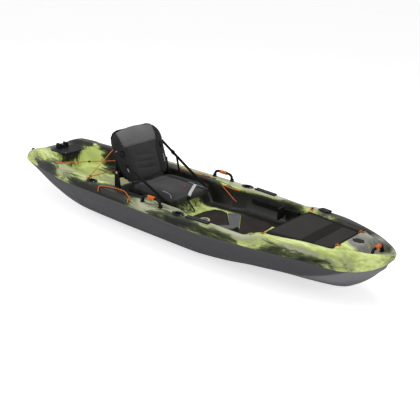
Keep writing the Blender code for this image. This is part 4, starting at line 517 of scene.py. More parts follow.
# Each swirl: its place, its reach along and across, and how dark and how pale it is.
# Some dark ones are painted shade, marked below.
SWIRLS_AND_SHADE = [
    (-1.52, -0.20, 0.33, 0.10, 0.12, -0.6, 0.2), (-1.40, -0.19, 0.39, 0.12, 0.05, -0.4, 0.4),
    (-1.38, -0.30, 0.31, 0.14, 0.06, 0.5, 0.4), (-1.22, -0.33, 0.28, 0.18, 0.05, 0.7, 0.0),
    (-1.12, -0.31, 0.36, 0.10, 0.05, 0.9, 0.1), (-1.00, -0.32, 0.35, 0.12, 0.05, -0.3, 0.6),
    (-0.92, -0.38, 0.31, 0.16, 0.05, 0.1, 0.3), (-0.80, -0.38, 0.35, 0.14, 0.05, -0.2, 0.6),
    (-0.74, -0.42, 0.29, 0.16, 0.04, 0.7, 0.0), (-0.56, -0.43, 0.31, 0.24, 0.07, 1.05, 0.1),
    (-0.38, -0.43, 0.31, 0.18, 0.07, 0.9, 0.2), (-0.24, -0.43, 0.28, 0.08, 0.04, -0.2, -0.3),
    (-0.19, -0.40, 0.34, 0.12, 0.05, 0.1, 0.9), (-0.02, -0.41, 0.34, 0.16, 0.05, 0.25, 0.8),
    (0.02, -0.44, 0.285, 0.20, 0.04, 0.15, 0.2), (0.22, -0.43, 0.29, 0.20, 0.05, 0.7, 0.0),
    (0.20, -0.39, 0.34, 0.20, 0.04, 0.0, 0.6), (0.44, -0.43, 0.29, 0.20, 0.05, 0.55, 0.0),
    (0.44, -0.40, 0.345, 0.20, 0.035, 0.0, 0.6), (0.65, -0.42, 0.28, 0.14, 0.05, 0.25, 0.0),
    (0.70, -0.38, 0.36, 0.18, 0.04, -0.4, 0.5), (0.80, -0.39, 0.32, 0.12, 0.05, -0.2, 0.2),
    (0.92, -0.36, 0.30, 0.12, 0.05, 0.8, 0.1), (1.00, -0.33, 0.34, 0.12, 0.04, 0.1, 0.6),
    (1.10, -0.31, 0.30, 0.14, 0.05, 0.45, 0.5), (1.22, -0.28, 0.29, 0.14, 0.05, 0.45, 0.5),
    (1.12, -0.27, 0.37, 0.26, 0.045, -0.6, -0.1), (1.34, -0.20, 0.33, 0.12, 0.06, -0.3, 0.2),
    (1.46, -0.12, 0.33, 0.12, 0.07, -0.8, -0.3), (1.52, 0.02, 0.37, 0.07, 0.07, 0.1, 0.9),
    (-1.24, 0.20, 0.27, 0.10, 0.10, -1.5, -0.6), (-1.01, 0.29, 0.28, 0.17, 0.14, 1.8, -0.1),
    # The next two swirls darken the stern deck round the stern plate.
    (-1.38, 0.03, 0.36, 0.16, 0.13, 1.7, 0.0), (-1.30, 0.20, 0.37, 0.16, 0.06, 1.2, 0.0),
    (-1.12, 0.32, 0.385, 0.34, 0.06, 0.9, 0.4), (-0.85, 0.37, 0.36, 0.26, 0.06, 0.9, 0.3),
    (-0.78, 0.29, 0.27, 0.16, 0.12, 1.4, 0.0), (-1.00, 0.00, 0.20, 0.24, 0.16, -0.4, 0.3),
    # Swirls on the seat deck under and beside the seat, from x -0.46 to -0.24 at heights of 0.26 to
    # 0.28, are painted shade cast by the seat, over some dark marbling.
    (-0.70, 0.00, 0.20, 0.16, 0.20, -0.1, 0.5), (-0.46, 0.05, 0.27, 0.18, 0.24, 1.7, 0.0),
    (-0.34, -0.28, 0.28, 0.30, 0.07, 1.4, 0.0), (-0.24, 0.00, 0.26, 0.20, 0.20, 1.2, 0.0),
    # The swirls at a height of 0.22 darken the footwell's far wall.
    (-0.34, 0.30, 0.26, 0.28, 0.08, 1.7, 0.0), (-0.06, 0.29, 0.22, 0.18, 0.085, 1.6, 0.0),
    (0.12, 0.31, 0.22, 0.20, 0.085, 1.6, 0.0), (0.34, 0.33, 0.22, 0.22, 0.080, 1.8, 0.0),
    (0.60, 0.32, 0.22, 0.22, 0.085, 1.8, 0.0), (-0.42, 0.40, 0.36, 0.30, 0.05, -0.6, 0.7),
    (-0.05, 0.40, 0.36, 0.30, 0.05, -0.9, 0.8), (0.25, 0.40, 0.36, 0.30, 0.055, -1.0, 0.9),
    (0.55, 0.38, 0.37, 0.26, 0.05, -0.5, 0.9), (0.80, 0.36, 0.37, 0.14, 0.05, -0.2, 0.9),
    (1.02, 0.33, 0.36, 0.18, 0.05, 0.7, 0.6), (1.24, 0.26, 0.37, 0.26, 0.07, 1.3, 0.4),
    (1.44, 0.15, 0.37, 0.16, 0.08, 1.5, 0.2), (0.20, 0.05, 0.18, 0.26, 0.14, -0.9, -0.2),
    (0.36, 0.00, 0.18, 0.30, 0.22, -0.5, 0.1), (0.42, 0.25, 0.185, 0.30, 0.05, 0.7, 0.1),
    (0.68, -0.05, 0.19, 0.13, 0.24, -1.3, 0.0), (0.79, -0.10, 0.33, 0.06, 0.22, -0.6, 0.0),
    # The swirl at x 0.00 and height 0.22 is painted shade under the pan's front edge.
    (0.00, -0.10, 0.22, 0.08, 0.20, 0.6, 0.0), (0.39, -0.33, 0.33, 0.06, 0.06, -0.3, 0.7),
    (-0.87, -0.38, 0.36, 0.12, 0.05, 0.5, -0.4), (0.60, 0.28, 0.37, 0.12, 0.05, 0.45, 0.0),
    (0.28, 0.25, 0.36, 0.10, 0.04, -0.9, 0.4), (1.34, 0.12, 0.38, 0.12, 0.05, 0.7, -0.2),
    # The swirl at x -0.26 is painted shade cast by the seat on the starboard gunwale's inner edge.
    (-0.26, -0.36, 0.36, 0.08, 0.03, 0.8, 0.0), (0.16, -0.36, 0.36, 0.14, 0.03, 0.2, 0.9),
    (1.40, -0.18, 0.30, 0.10, 0.05, 0.4, 0.3), (1.17, -0.32, 0.35, 0.12, 0.04, -0.2, 0.7),
    (0.52, 0.41, 0.31, 0.14, 0.03, 0.7, 0.0), (0.19, 0.36, 0.31, 0.14, 0.03, -1.4, 0.3),
    # The next two swirls are painted shade inside the boss's bore and the recess.
    (*BOSS_AT, 0.28, 0.025, 0.025, 3.0, 0.0), (*RECESS_AT, 0.33, 0.018, 0.018, 2.5, 0.0),
    (-0.09, -0.33, 0.338, 0.10, 0.03, 0.3, 0.8), (0.10, -0.33, 0.338, 0.14, 0.03, 0.3, 0.9),
    # The swirl at x -0.27 is painted shade cast by the seat on the gunwale's inner edge.
    (-0.27, -0.33, 0.338, 0.08, 0.03, 0.9, 0.0), (0.55, 0.35, 0.340, 0.14, 0.04, 0.6, 0.0),
    (-1.19, -0.31, 0.29, 0.14, 0.04, 0.7, 0.0)]
SWIRL_REACH, DARK_GAIN = 1.6, 1.2
drift = node(tree, "ShaderNodeTexNoise", [("Vector", place)], in_Scale=3.1, in_Detail=5.0)
drift = node(tree, "ShaderNodeVectorMath", [(0, drift.outputs["Color"])], operation="SUBTRACT",
             in_1=(0.5, 0.5, 0.5))
drift = node(tree, "ShaderNodeVectorMath", [(0, drift), (2, place)],
             operation="MULTIPLY_ADD", in_1=(0.22, 0.12, 0.10))


def streaks(stretch, size, detail, twist):
    """Noise drawn out along the boat, as the powders smear when the mould rocks."""
    flow = node(tree, "ShaderNodeMapping", [("Vector", drift)], in_Scale=(stretch, 1.0, 1.0))
    return node(tree, "ShaderNodeTexNoise", [("Vector", flow)], in_Scale=size,
                in_Detail=detail, in_Roughness=0.58, in_Distortion=twist)


folds = streaks(0.40, 6.0, 4.0, 0.8)
smears = streaks(0.20, 30.0, 4.0, 0.5)
wisps = streaks(0.16, 60.0, 3.0, 0.3)


def added(total, source, gain):
    """Adds gain times a source to a running total, which is a number at first."""
    made = node(tree, "ShaderNodeMath", [(0, source)], operation="MULTIPLY_ADD", in_1=gain)
    if isinstance(total, float):
        made.inputs[2].default_value = total
    else:
        tree.links.new(total, made.inputs[2])
    return made.outputs[0]


dark, pale = 0.0, 0.25
for source, darker, paler in ((folds, 1.0, 0.5), (smears, 1.7, 1.3), (wisps, 0.8, 0.8)):
    shift = node(tree, "ShaderNodeMath", [(0, source)], operation="SUBTRACT", in_1=0.5)
    dark = added(dark, shift, darker)
    pale = added(pale, shift, paler)
for x, y, z, along, across, darker, paler in SWIRLS_AND_SHADE:
    reach = (along * SWIRL_REACH, across * SWIRL_REACH, across * SWIRL_REACH)
    spot = node(tree, "ShaderNodeMapping", [("Vector", drift)], vector_type="TEXTURE",
                in_Location=(x, y, z), in_Scale=reach)
    spot = node(tree, "ShaderNodeTexGradient", [("Vector", spot)], gradient_type="SPHERICAL")
    if darker:
        dark = added(dark, spot.outputs["Fac"], darker * DARK_GAIN)
    if paler:
        pale = added(pale, spot.outputs["Fac"], paler)


def ramp(source, *stops):
    """Colour ramp with (place, colour) stops."""
    made = node(tree, "ShaderNodeValToRGB", [("Fac", source)])
    elements = made.color_ramp.elements
    while len(elements) < len(stops):
        elements.new(1.0)
    for element, (spot, shade) in zip(elements, stops):
        element.position, element.color = spot, shade
    return made


light = ramp(pale, (0.0, LIME), (0.38, YELLOW), (0.68, CREAM), (1.0, colour("#bdbea4")))
ink_and_shade = ramp(dark, (0.10, GREY_GREEN), (0.40, OLIVE), (0.66, MOSS), (0.96, BLACK_GREEN))
inked_and_shaded = node(tree, "ShaderNodeMapRange", [("Value", dark)], interpolation_type="SMOOTHSTEP",
             in_1=0.0, in_2=0.55)
marble = node(tree, "ShaderNodeMix", [("Factor", inked_and_shaded), (6, light), (7, ink_and_shade)], data_type="RGBA")
# The panel ahead of the bow well came out grey, with lime wisps
panel = node(tree, "ShaderNodeMapping", [("Vector", drift)], vector_type="TEXTURE",
             in_Location=(1.375, 0.03, 0.375), in_Scale=(0.170, 0.175, 0.08))
panel = node(tree, "ShaderNodeTexGradient", [("Vector", panel)], gradient_type="SPHERICAL")
panel = node(tree, "ShaderNodeMapRange", [("Value", panel.outputs["Fac"])], in_1=0.05, in_2=0.30)
fleck = ramp(smears, (0.40, PANEL_GREY), (0.58, colour("#8e8d84")), (0.70, colour("#b9bf8c")))
marble = node(tree, "ShaderNodeMix", [("Factor", panel), (6, marble.outputs[2]), (7, fleck)],
              data_type="RGBA")
feed(tree, shader, [("Base Color", marble.outputs[2])])

# Sections stand closer where a well's wall starts or ends, and at the nose
SECTION_PITCH, SECTION_GAP, NOSE_REACH = 0.014, 0.0022, 0.0071
NOSE_PLACES = (0.0, 0.001, 0.003, 0.006, 0.010)
WALL_PLACES = (-0.012, -0.006, 0.0, 0.006, 0.012)
places = list(np.arange(STERN, BOW, SECTION_PITCH)) + [BOW - away for away in NOSE_PLACES]
places += [row[0] + away for row in WELLS[1:-1] for away in WALL_PLACES]
rows, last = [], STERN - 1.0
for x in sorted(places):
    if x - last > SECTION_GAP or x > BOW - NOSE_REACH and x > last:
        rows.append(mirrored(x, deck_half(float(x))))
        last = x
rows.insert(0, [(STERN, y, seam_z(STERN) + TOUCH_GAP) for _, y, _ in rows[0]])
deck = plain(shell_mesh("deck_moulding", rows, SHELL_WALL, 1, deck_plastic))

PLUG_FACET, PLUG_Y = (-1.545, -1.512), -0.1845
PLUG_BORE = 0.0106
BOSS_RADIUS, BOSS_BORE, BOSS_DEPTH = 0.034, 0.024, 0.090
RECESS_DEPTH = 0.050
CUT_PAST, HOLDER_CUT = 0.05, 0.06
low, high = (Vector((x, PLUG_Y, gunwale_z(x))) for x in PLUG_FACET)
plug_place = (Matrix.Translation((low + high) / 2)
              @ Matrix.Rotation(-math.atan2(high.z - low.z, high.x - low.x), 4, "Y")
              @ Matrix.Translation((0, 0, TOUCH_GAP)))
cups = bmesh.new()
boss_top = gunwale_z(BOSS_AT[0]) - TOUCH_GAP
bar(cups, BOSS_RADIUS, (*BOSS_AT, FOOT_FLOOR_Z - SHELL_WALL / 2), (*BOSS_AT, boss_top))
recess_top = gunwale_z(RECESS_AT[0])
bar(cups, RECESS_RADIUS + SHELL_WALL, (*RECESS_AT, recess_top - RECESS_DEPTH - SHELL_WALL),
    (*RECESS_AT, recess_top - SHELL_WALL))
combine(deck, cups, "UNION")
bores = bmesh.new()
bmesh.ops.create_cone(bores, cap_ends=True, segments=32, radius1=PLUG_BORE, radius2=PLUG_BORE,
                      depth=0.04, matrix=plug_place)
bar(bores, BOSS_BORE, (*BOSS_AT, boss_top - BOSS_DEPTH), (*BOSS_AT, boss_top + CUT_PAST))
bar(bores, RECESS_RADIUS, (*RECESS_AT, recess_top - RECESS_DEPTH),
    (*RECESS_AT, recess_top + CUT_PAST))
for _, x, inset in HOLDER_SPOTS:
    for side in (-1, 1):
        y, z = side * (half_breadth(x) - inset), gunwale_z(x)
        bar(bores, HOLDER_TUBE + 4 * TOUCH_GAP, (x, y, z - HOLDER_CUT), (x, y, z + HOLDER_CUT))
combine(deck, bores, "DIFFERENCE")
deck.data.shade_smooth()
deck.data.set_sharp_from_angle(angle=math.radians(42))
belongs(deck, "deck_shell", "deck")

# Foam blocks: white closed-cell polyethylene, cut square and wedged between the hull's
# bottom and the deck to carry the seat and the standing floor. Cells of 2.5 mm pit it.
foam, tree, shader = material("polyethylene_foam", Base_Color=colour("#dcdcd8"), Roughness=0.9)
place = node(tree, "ShaderNodeTexCoord").outputs["Object"]
cells = node(tree, "ShaderNodeTexVoronoi", [("Vector", place)], in_Scale=400.0)
bump = node(tree, "ShaderNodeBump", [("Height", cells)], in_Strength=0.3, in_Distance=0.001)
feed(tree, shader, [("Normal", bump)])
for name in ("foam_block_seat", "foam_block_footwell"):
    nodes[name].data.materials.clear()
    nodes[name].data.materials.append(foam)

# Stern plate and its slotted bracket: injection-moulded nylon, screwed down on the stern
# deck. Its spark texture breaks up the gloss, drawn at 1 mm, coarser than the real one, so
# that it shows, and dust makes paler, duller patches.


def finished(name, made_name, finish, slot, body="kayak", width=0.0008, rounds=2):
    """A copy of a CAD node with its points merged and its edges rounded, in its own finish."""
    mesh = nodes[name].data.copy()
    mesh.name = made_name
    for layer in ("custom_normal", "sharp_edge", "sharp_face"):
        if layer in mesh.attributes:
            mesh.attributes.remove(mesh.attributes[layer])
    bm = bmesh.new()
    bm.from_mesh(mesh)
    bmesh.ops.remove_doubles(bm, verts=bm.verts, dist=1e-5)
    bmesh.ops.dissolve_limit(bm, angle_limit=math.radians(0.8), verts=bm.verts, edges=bm.edges)
    bm.to_mesh(mesh)
    bm.free()
    made = add_object(made_name, mesh, finish, 180.0)
    edge = made.modifiers.new("edge", "BEVEL")
    edge.width, edge.segments, edge.limit_method = width, rounds, "ANGLE"
    edge.angle_limit = math.radians(28)
    edge.harden_normals = True
    return belongs(plain(made), name, slot, body)


def two_tone(tree, shader, factor, base, pale, height, strength, depth):
    """Mixes two colours by a factor, and makes height a bump of this depth in metres."""
    tint = node(tree, "ShaderNodeMix", [("Factor", factor)], data_type="RGBA",
                in_6=colour(base), in_7=colour(pale))
    bump = node(tree, "ShaderNodeBump", [("Height", height)], in_Strength=strength,
                in_Distance=depth)
    feed(tree, shader, [("Base Color", tint.outputs[2]), ("Normal", bump)])


def moulded(name, base, pale, roughness, grain, depth, gloss=0.2):
    """Moulded plastic or rubber: grain is its texture's size and depth its height, in metres."""
    finish, tree, shader = material(name, Specular_IOR_Level=gloss)
    place = node(tree, "ShaderNodeTexCoord").outputs["Object"]
    texture = node(tree, "ShaderNodeTexNoise", [("Vector", place)], in_Scale=1 / grain,
                   in_Detail=2.0)
    dust = node(tree, "ShaderNodeTexNoise", [("Vector", place)], in_Scale=38.0, in_Detail=4.0)
    dust = node(tree, "ShaderNodeMapRange", [("Value", dust)], in_1=0.45, in_2=0.75)
    wear = node(tree, "ShaderNodeMapRange", [("Value", dust)], in_3=roughness,
                in_4=min(1.0, roughness + 0.12))
    feed(tree, shader, [("Roughness", wear)])
    two_tone(tree, shader, dust, base, pale, texture, 0.5, depth)
    return finish


black_nylon = moulded("black_nylon", "#19191b", "#242426", roughness=0.50, grain=0.0011,
                      depth=0.0003, gloss=0.08)
finished("stern_plate", "stern_deck_plate", black_nylon, "black_plastic", width=0.0020, rounds=3)
finished("stern_bracket", "stern_slot_bracket", black_nylon, "black_plastic", width=0.0014)

# Screws: stainless pan heads, four in the stern plate and four in each rod holder's flange.
# Brushing gives them streaks of gloss. The node tree turns points into screw heads.
steel, tree, shader = material("stainless_steel", Base_Color=colour("#b9b8b4"), Metallic=1.0)
place = node(tree, "ShaderNodeTexCoord").outputs["Object"]
brush = node(tree, "ShaderNodeTexNoise", [("Vector", place)], in_Scale=900.0, in_Detail=1.0)
wear = node(tree, "ShaderNodeMapRange", [("Value", brush)], in_3=0.24, in_4=0.42)
feed(tree, shader, [("Roughness", wear)])


def copies_tree(name, sizes):
    """A node tree with inputs for places and for each named size, with the sizes' keys."""
    tree = bpy.data.node_groups.new(name, "GeometryNodeTree")
    add = tree.interface.new_socket
    add("Places", in_out="INPUT", socket_type="NodeSocketGeometry")
    keys = [add(size, in_out="INPUT", socket_type="NodeSocketFloat").identifier for size in sizes]
    add("Copies", in_out="OUTPUT", socket_type="NodeSocketGeometry")
    return tree, node(tree, "NodeGroupInput").outputs, keys


def end_tree(tree, links, finish):
    """Ends a tree: copies on its points, made real and given their material."""
    copies = node(tree, "GeometryNodeInstanceOnPoints", links)
    real = node(tree, "GeometryNodeRealizeInstances", [("Geometry", copies)])
    shaded = node(tree, "GeometryNodeSetMaterial", [("Geometry", real)], in_Material=finish)
    feed(tree, node(tree, "NodeGroupOutput"), [(0, shaded)])


def grown(name, verts, edges, tree, sizes, slot, body):
    """The plain mesh that a tree makes on points or lines; sizes are (key, value) pairs."""
    mesh = bpy.data.meshes.new(name)
    mesh.from_pydata([tuple(v) for v in verts], edges, [])
    made = bpy.data.objects.new(name, mesh)
    scene.collection.objects.link(made)
    copies = made.modifiers.new("copies", "NODES")
    copies.node_group = tree
    for key, value in sizes:
        copies[key] = value
    plain(made)
    made.data.shade_smooth()
    belongs(made, None, slot, body)


SCREW_HEAD, SCREW_RISE = 0.0034, 0.0016
screw_tree, seats, screw_keys = copies_tree("screws_on_points", ("Head radius", "Head height"))
dome = node(screw_tree, "GeometryNodeMeshUVSphere", [("Radius", seats["Head radius"])],
            in_Segments=14, in_Rings=8)
share = node(screw_tree, "ShaderNodeMath", [(0, seats["Head height"]), (1, seats["Head radius"])],
             operation="DIVIDE")
squat = node(screw_tree, "ShaderNodeCombineXYZ", [("Z", share)], in_X=1.0, in_Y=1.0)
dome = node(screw_tree, "GeometryNodeTransform", [("Geometry", dome), ("Scale", squat)])
spots = node(screw_tree, "GeometryNodeMeshToPoints", [("Mesh", seats["Places"])])
end_tree(screw_tree, [("Points", spots), ("Instance", dome)], steel)


def screws(name, spots):
    """Screw heads with their domes just above each spot, as one plain mesh."""
    sizes = zip(screw_keys, (SCREW_HEAD, SCREW_RISE))
    grown(name, spots, [], screw_tree, sizes, "steel", "kayak")


PLATE_SCREWS_X, PLATE_SCREWS_Y = (-1.402, -1.253), (-0.085, 0.085)
plate_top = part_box("stern_plate")[1][2]
screws("stern_plate_screws", [(x, y, plate_top) for x in PLATE_SCREWS_X for y in PLATE_SCREWS_Y])

# Drain plug: a black nylon screw plug with a finger bar, sealed on the sloping end of the
# starboard stern lobe.


def bearings(count):
    """Angles of so many equal steps round a full turn."""
    return [2 * math.pi * k / count for k in range(count)]


def tube(name, rings, closed=False):
    """Mesh through rings of points, capped unless it closes on itself."""
    count, sides = len(rings), len(rings[0])
    faces = []
    for i in range(count if closed else count - 1):
        low, high = i * sides, (i + 1) % count * sides
        faces += [(low + k, low + (k + 1) % sides, high + (k + 1) % sides, high + k)
                  for k in range(sides)]
    if not closed:
        faces += [tuple(range(sides))[::-1], tuple(range(high, high + sides))]
    mesh = bpy.data.meshes.new(name)
    mesh.from_pydata([tuple(point) for ring in rings for point in ring], [], faces)
    return mesh


def outward(mesh):
    """Turns the faces of a closed mesh outwards."""
    bm = bmesh.new()
    bm.from_mesh(mesh)
    bmesh.ops.recalc_face_normals(bm, faces=bm.faces)
    bm.to_mesh(mesh)
    bm.free()


def ringed(name, rings, finish, sides, place):
    """Solid through stacked rings of (x radius, y radius, height), moved to its place."""
    mesh = tube(name, [[(wide * math.cos(a), deep * math.sin(a), height) for a in bearings(sides)]
                       for wide, deep, height in rings])
    mesh.transform(place)
    outward(mesh)
    return add_object(name, mesh, finish, 34.0)


def round_rings(radius, low, high, edge):
    """Rings of a short round bar with its two rims rounded."""
    bend = [(1 - math.cos(a), math.sin(a)) for a in (0.0, 0.6, 1.1, math.pi / 2)]
    top = [(radius - edge * (1 - s), high - edge * c) for c, s in bend[::-1]]
    foot = [(radius - edge * (1 - s), low + edge * c) for c, s in bend]
    return [(r, r, z) for r, z in foot + top]


def slab(name, place, size, edge, finish, segments, profile):
    """A small block with its edges rounded."""
    mesh = bpy.data.meshes.new(name)
    bm = bmesh.new()
    bmesh.ops.create_cube(bm, size=1.0, matrix=place @ Matrix.Diagonal((*size, 1.0)))
    bmesh.ops.bevel(bm, geom=bm.edges[:], offset=edge, segments=segments, affect="EDGES",
                    profile=profile)
    bm.to_mesh(mesh)
    bm.free()
    return add_object(name, mesh, finish)


PLUG_NECK, PLUG_NECK_FOOT = 0.010, -0.014
PLUG_HEAD, PLUG_RISE, PLUG_ROUND = 0.015, 0.007, 0.0015
GRIP_LIFT, GRIP_SIZE, GRIP_ROUND = 0.010, (0.026, 0.006, 0.0080), 0.0014
rings = [(PLUG_NECK, PLUG_NECK, PLUG_NECK_FOOT), (PLUG_NECK, PLUG_NECK, 0.0)]
plug = ringed("drain_plug_head", rings + round_rings(PLUG_HEAD, 0.0, PLUG_RISE, PLUG_ROUND),
              black_nylon, 40, plug_place)
belongs(plug, "drain_plug", "black_plastic", "drain_plug")
grip = slab("drain_plug_bar", plug_place @ Matrix.Translation((0, 0, GRIP_LIFT)), GRIP_SIZE,
            GRIP_ROUND, black_nylon, segments=3, profile=0.5)
belongs(grip, None, "black_plastic", "drain_plug")

# Deck pads: 6 mm EVA foam sheet, die-cut and glued to the standing floor, dark brown-black
# with a grey chevron between. The skin is brushed, so it looks matt and slightly napped.


def eva(name, base, pale):
    """Brushed EVA foam: a nap of 2.4 mm drawn out along the boat, and worn patches."""
    finish, tree, shader = material(name, Roughness=0.88, Specular_IOR_Level=0.06,
                                    Sheen_Weight=0.04, Sheen_Roughness=0.5)
    place = node(tree, "ShaderNodeTexCoord").outputs["Object"]
    nap = node(tree, "ShaderNodeMapping", [("Vector", place)], in_Scale=(1.0, 0.35, 1.0))
    nap = node(tree, "ShaderNodeTexNoise", [("Vector", nap)], in_Scale=420.0, in_Detail=3.0)
    tread = node(tree, "ShaderNodeTexNoise", [("Vector", place)], in_Scale=11.0, in_Detail=3.0)
    trodden = node(tree, "ShaderNodeMath", [(0, nap), (1, tread)], operation="MULTIPLY")
    trodden = node(tree, "ShaderNodeMapRange", [("Value", trodden)], in_1=0.12, in_2=0.42)
    two_tone(tree, shader, trodden, base, pale, nap, 0.6, 0.0006)
    return finish


dark_eva = eva("dark_eva_foam", "#2a2623", "#38322f")
grey_eva = eva("grey_eva_foam", "#616162", "#707072")
for name, made_name, finish, slot in (("deck_pad_aft", "pad_aft", dark_eva, "pad_dark"),
                                      ("deck_pad_middle", "pad_chevron", grey_eva, "pad_grey"),
                                      ("deck_pad_fore", "pad_fore", dark_eva, "pad_dark")):
    finished(name, made_name, finish, slot, width=0.0022, rounds=3)

# Gear tracks: black anodised aluminium extrusions on both gunwales, open along the top, and
# the low nylon block by the bow cover. The metal is drawn, so its gloss runs in long lines.
anodised, tree, shader = material("black_anodised_aluminium", Base_Color=colour("#2b2b2d"),
                                  Metallic=0.85)
place = node(tree, "ShaderNodeTexCoord").outputs["Object"]
draw = node(tree, "ShaderNodeMapping", [("Vector", place)], in_Scale=(0.04, 1.0, 1.0))
draw = node(tree, "ShaderNodeTexNoise", [("Vector", draw)], in_Scale=1600.0)
wear = node(tree, "ShaderNodeMapRange", [("Value", draw)], in_3=0.34, in_4=0.50)
feed(tree, shader, [("Roughness", wear)])
for side_name in ("port", "starboard"):
    finished("gear_track_" + side_name, "track_" + side_name, anodised, "track", width=0.0006)
finished("gear_block_port", "gunwale_block", black_nylon, "black_plastic", width=0.0022, rounds=3)

# Rod holders: black nylon tubes moulded in one with an oval flange, pushed down through the
# gunwale and held by four screws each.
SIDES = (("starboard", -1), ("port", 1))
HOLDER_FOOT, HOLDER_FLOOR = -0.110, -0.107
HOLDER_SCREWS = (0.0385, 0.0165, 0.0032)
# Rings of the flange, from under its edge over its lip and into the bore
HOLDER_FLANGE = [(0.0495, 0.0345, 0.0), (0.050, 0.035, 0.0008), (0.0496, 0.0346, 0.0022),
                 (0.0480, 0.0330, 0.0030), (0.0290, 0.0270, 0.0038), (0.0262, 0.0252, 0.0060),
                 (0.0240, 0.0238, 0.0068), (0.0218, 0.0218, 0.0060)]


def on_gunwale(x, side, inset, lift):
    """A place on a gunwale, turned along it and inset from its edge."""
    slope = math.atan2(side * (half_breadth(x + 0.05) - half_breadth(x - 0.05)), 0.1)
    spot = (x, side * (half_breadth(x) - inset), gunwale_z(x) + lift)
    return Matrix.Translation(spot) @ Matrix.Rotation(slope, 4, "Z")


rings = ([(HOLDER_TUBE, HOLDER_TUBE, height) for height in (HOLDER_FOOT, 0.0)] + HOLDER_FLANGE
         + [(HOLDER_BORE, HOLDER_BORE, height) for height in (0.0030, HOLDER_FLOOR)])
for label, x, inset in HOLDER_SPOTS:
    for side_name, side in SIDES:
        spot = on_gunwale(x, side, inset, TOUCH_GAP)
        name = label + "_" + side_name
        made = ringed("holder_" + name, rings, black_nylon, 56, spot)
        belongs(made, "rod_holder_" + name, "black_plastic")
        along, across, rise = HOLDER_SCREWS
        screws("holder_screws_" + name, [spot @ Vector((along * a, across * b, rise))
                                         for a in (-1, 1) for b in (-1, 1)])

# Foot braces: glass-filled nylon rails screwed to the footwell walls, with a carriage and
# its footplate that slide along each.
for side_name in ("port", "starboard"):
    finished("footrest_rail_" + side_name, "brace_rail_" + side_name, black_nylon, "rail",
             width=0.0016)
    finished("foot_peg_" + side_name, "brace_peg_" + side_name, black_nylon, "black_plastic",
             "foot_peg_" + side_name, width=0.0018)

# Carry handles: a bent bar of black rubber over a steel core on two pivot lugs, with an
# orange rubber sleeve where the hand goes. Both are matt, and dust dulls them in patches.
rubber = moulded("black_rubber", "#171718", "#222223", roughness=0.60, grain=0.0016,
                 depth=0.0002, gloss=0.1)
orange_rubber = moulded("orange_rubber", "#dd6a22", "#e57a34", roughness=0.50, grain=0.0012,
                        depth=0.0002)


def spread(points, count):
    """Points on a smooth curve through the given ones, count to each span."""
    line = [Vector(p) for p in points]
    line = [2 * line[0] - line[1]] + line + [2 * line[-1] - line[-2]]
    made = []
    for before, start, end, after in zip(line, line[1:], line[2:], line[3:]):
        for k in range(count):
            t = k / count
            made.append(0.5 * (2 * start + (end - before) * t
                               + (2 * before - 5 * start + 4 * end - after) * t * t
                               + (3 * start - before - 3 * end + after) * t ** 3))
    return made + [line[-2]]


def mapped_along(mesh, runs, places):
    """UV map of a tube: the metres along it, and the places round it."""
    marks = [mark for near, far in zip(runs, runs[1:]) for left, right in zip(places, places[1:])
             for mark in ((near, left), (near, right), (far, right), (far, left))]
    if len(mesh.loops) > len(marks):
        marks += [(run, 0.0) for run in (runs[0], runs[-1]) for _ in places[1:]]
    layer = mesh.uv_layers.new(name="UVMap")
    layer.data.foreach_set("uv", np.array(marks, np.float32).ravel())


def swept(name, line, radius, finish, sides=12, closed=False):
    """Round cord or bar along a line. Its UV map holds metres along and the share round it."""
    line = [Vector(p) for p in line]
    last = len(line) - 1
    frame_up, rings, runs = None, [], []
    for i, point in enumerate(line):
        ahead = line[(i + 1) % len(line)] if closed or i < last else point
        behind = line[i - 1] if closed or i > 0 else point
        along = (ahead - behind).normalized()
        if frame_up is None:
            frame_up = along.orthogonal().normalized()
        frame_up = (frame_up - along * frame_up.dot(along)).normalized()
        across = along.cross(frame_up)
        size = radius(i / last) if callable(radius) else radius
        runs.append(runs[-1] + (point - line[i - 1]).length if i else 0.0)
        rings.append([point + frame_up * size * math.cos(a) + across * size * math.sin(a)
                      for a in bearings(sides)])
    if closed:
        runs.append(runs[-1] + (line[0] - line[-1]).length)
    mesh = tube(name, rings, closed)
    mapped_along(mesh, runs, [k / sides for k in range(sides + 1)])
    return add_object(name, mesh, finish, 60.0)


def merged(name, parts, finish):
    """Joins closed meshes of one material into one object."""
    bm = bmesh.new()
    for part in parts:
        bm.from_mesh(part.data)
        mesh = part.data
        bpy.data.objects.remove(part, do_unlink=True)
        bpy.data.meshes.remove(mesh)
    mesh = bpy.data.meshes.new(name)
    bm.to_mesh(mesh)
    bm.free()
    return add_object(name, mesh, finish, 40.0)


def smooth(value, low, high):
    """0 below low and 1 above high, eased between."""
    t = min(1.0, max(0.0, (value - low) / (high - low)))
    return t * t * (3 - 2 * t)


PIN_Z = 0.016
EYE_RADIUS, EYE_WIDTH, EYE_ROUND = 0.010, 0.0124, 0.0012
BAR_THICK, BAR_THIN = 0.0095, 0.0060
SLEEVE, SLEEVE_GROOVE = 0.0132, 0.0122
SLEEVE_END, SLEEVE_LIP = 0.0300, 0.0285
RIB_COUNT, RIB_PITCH, RIB_HALF = 9, 0.006, 0.0018
# Shares of the half span and of the rise, from the pivot to the top of the arch
HANDLE_LEG = ((1.0, 0.0), (1.0, 0.35), (0.86, 0.80), (0.60, 1.0))


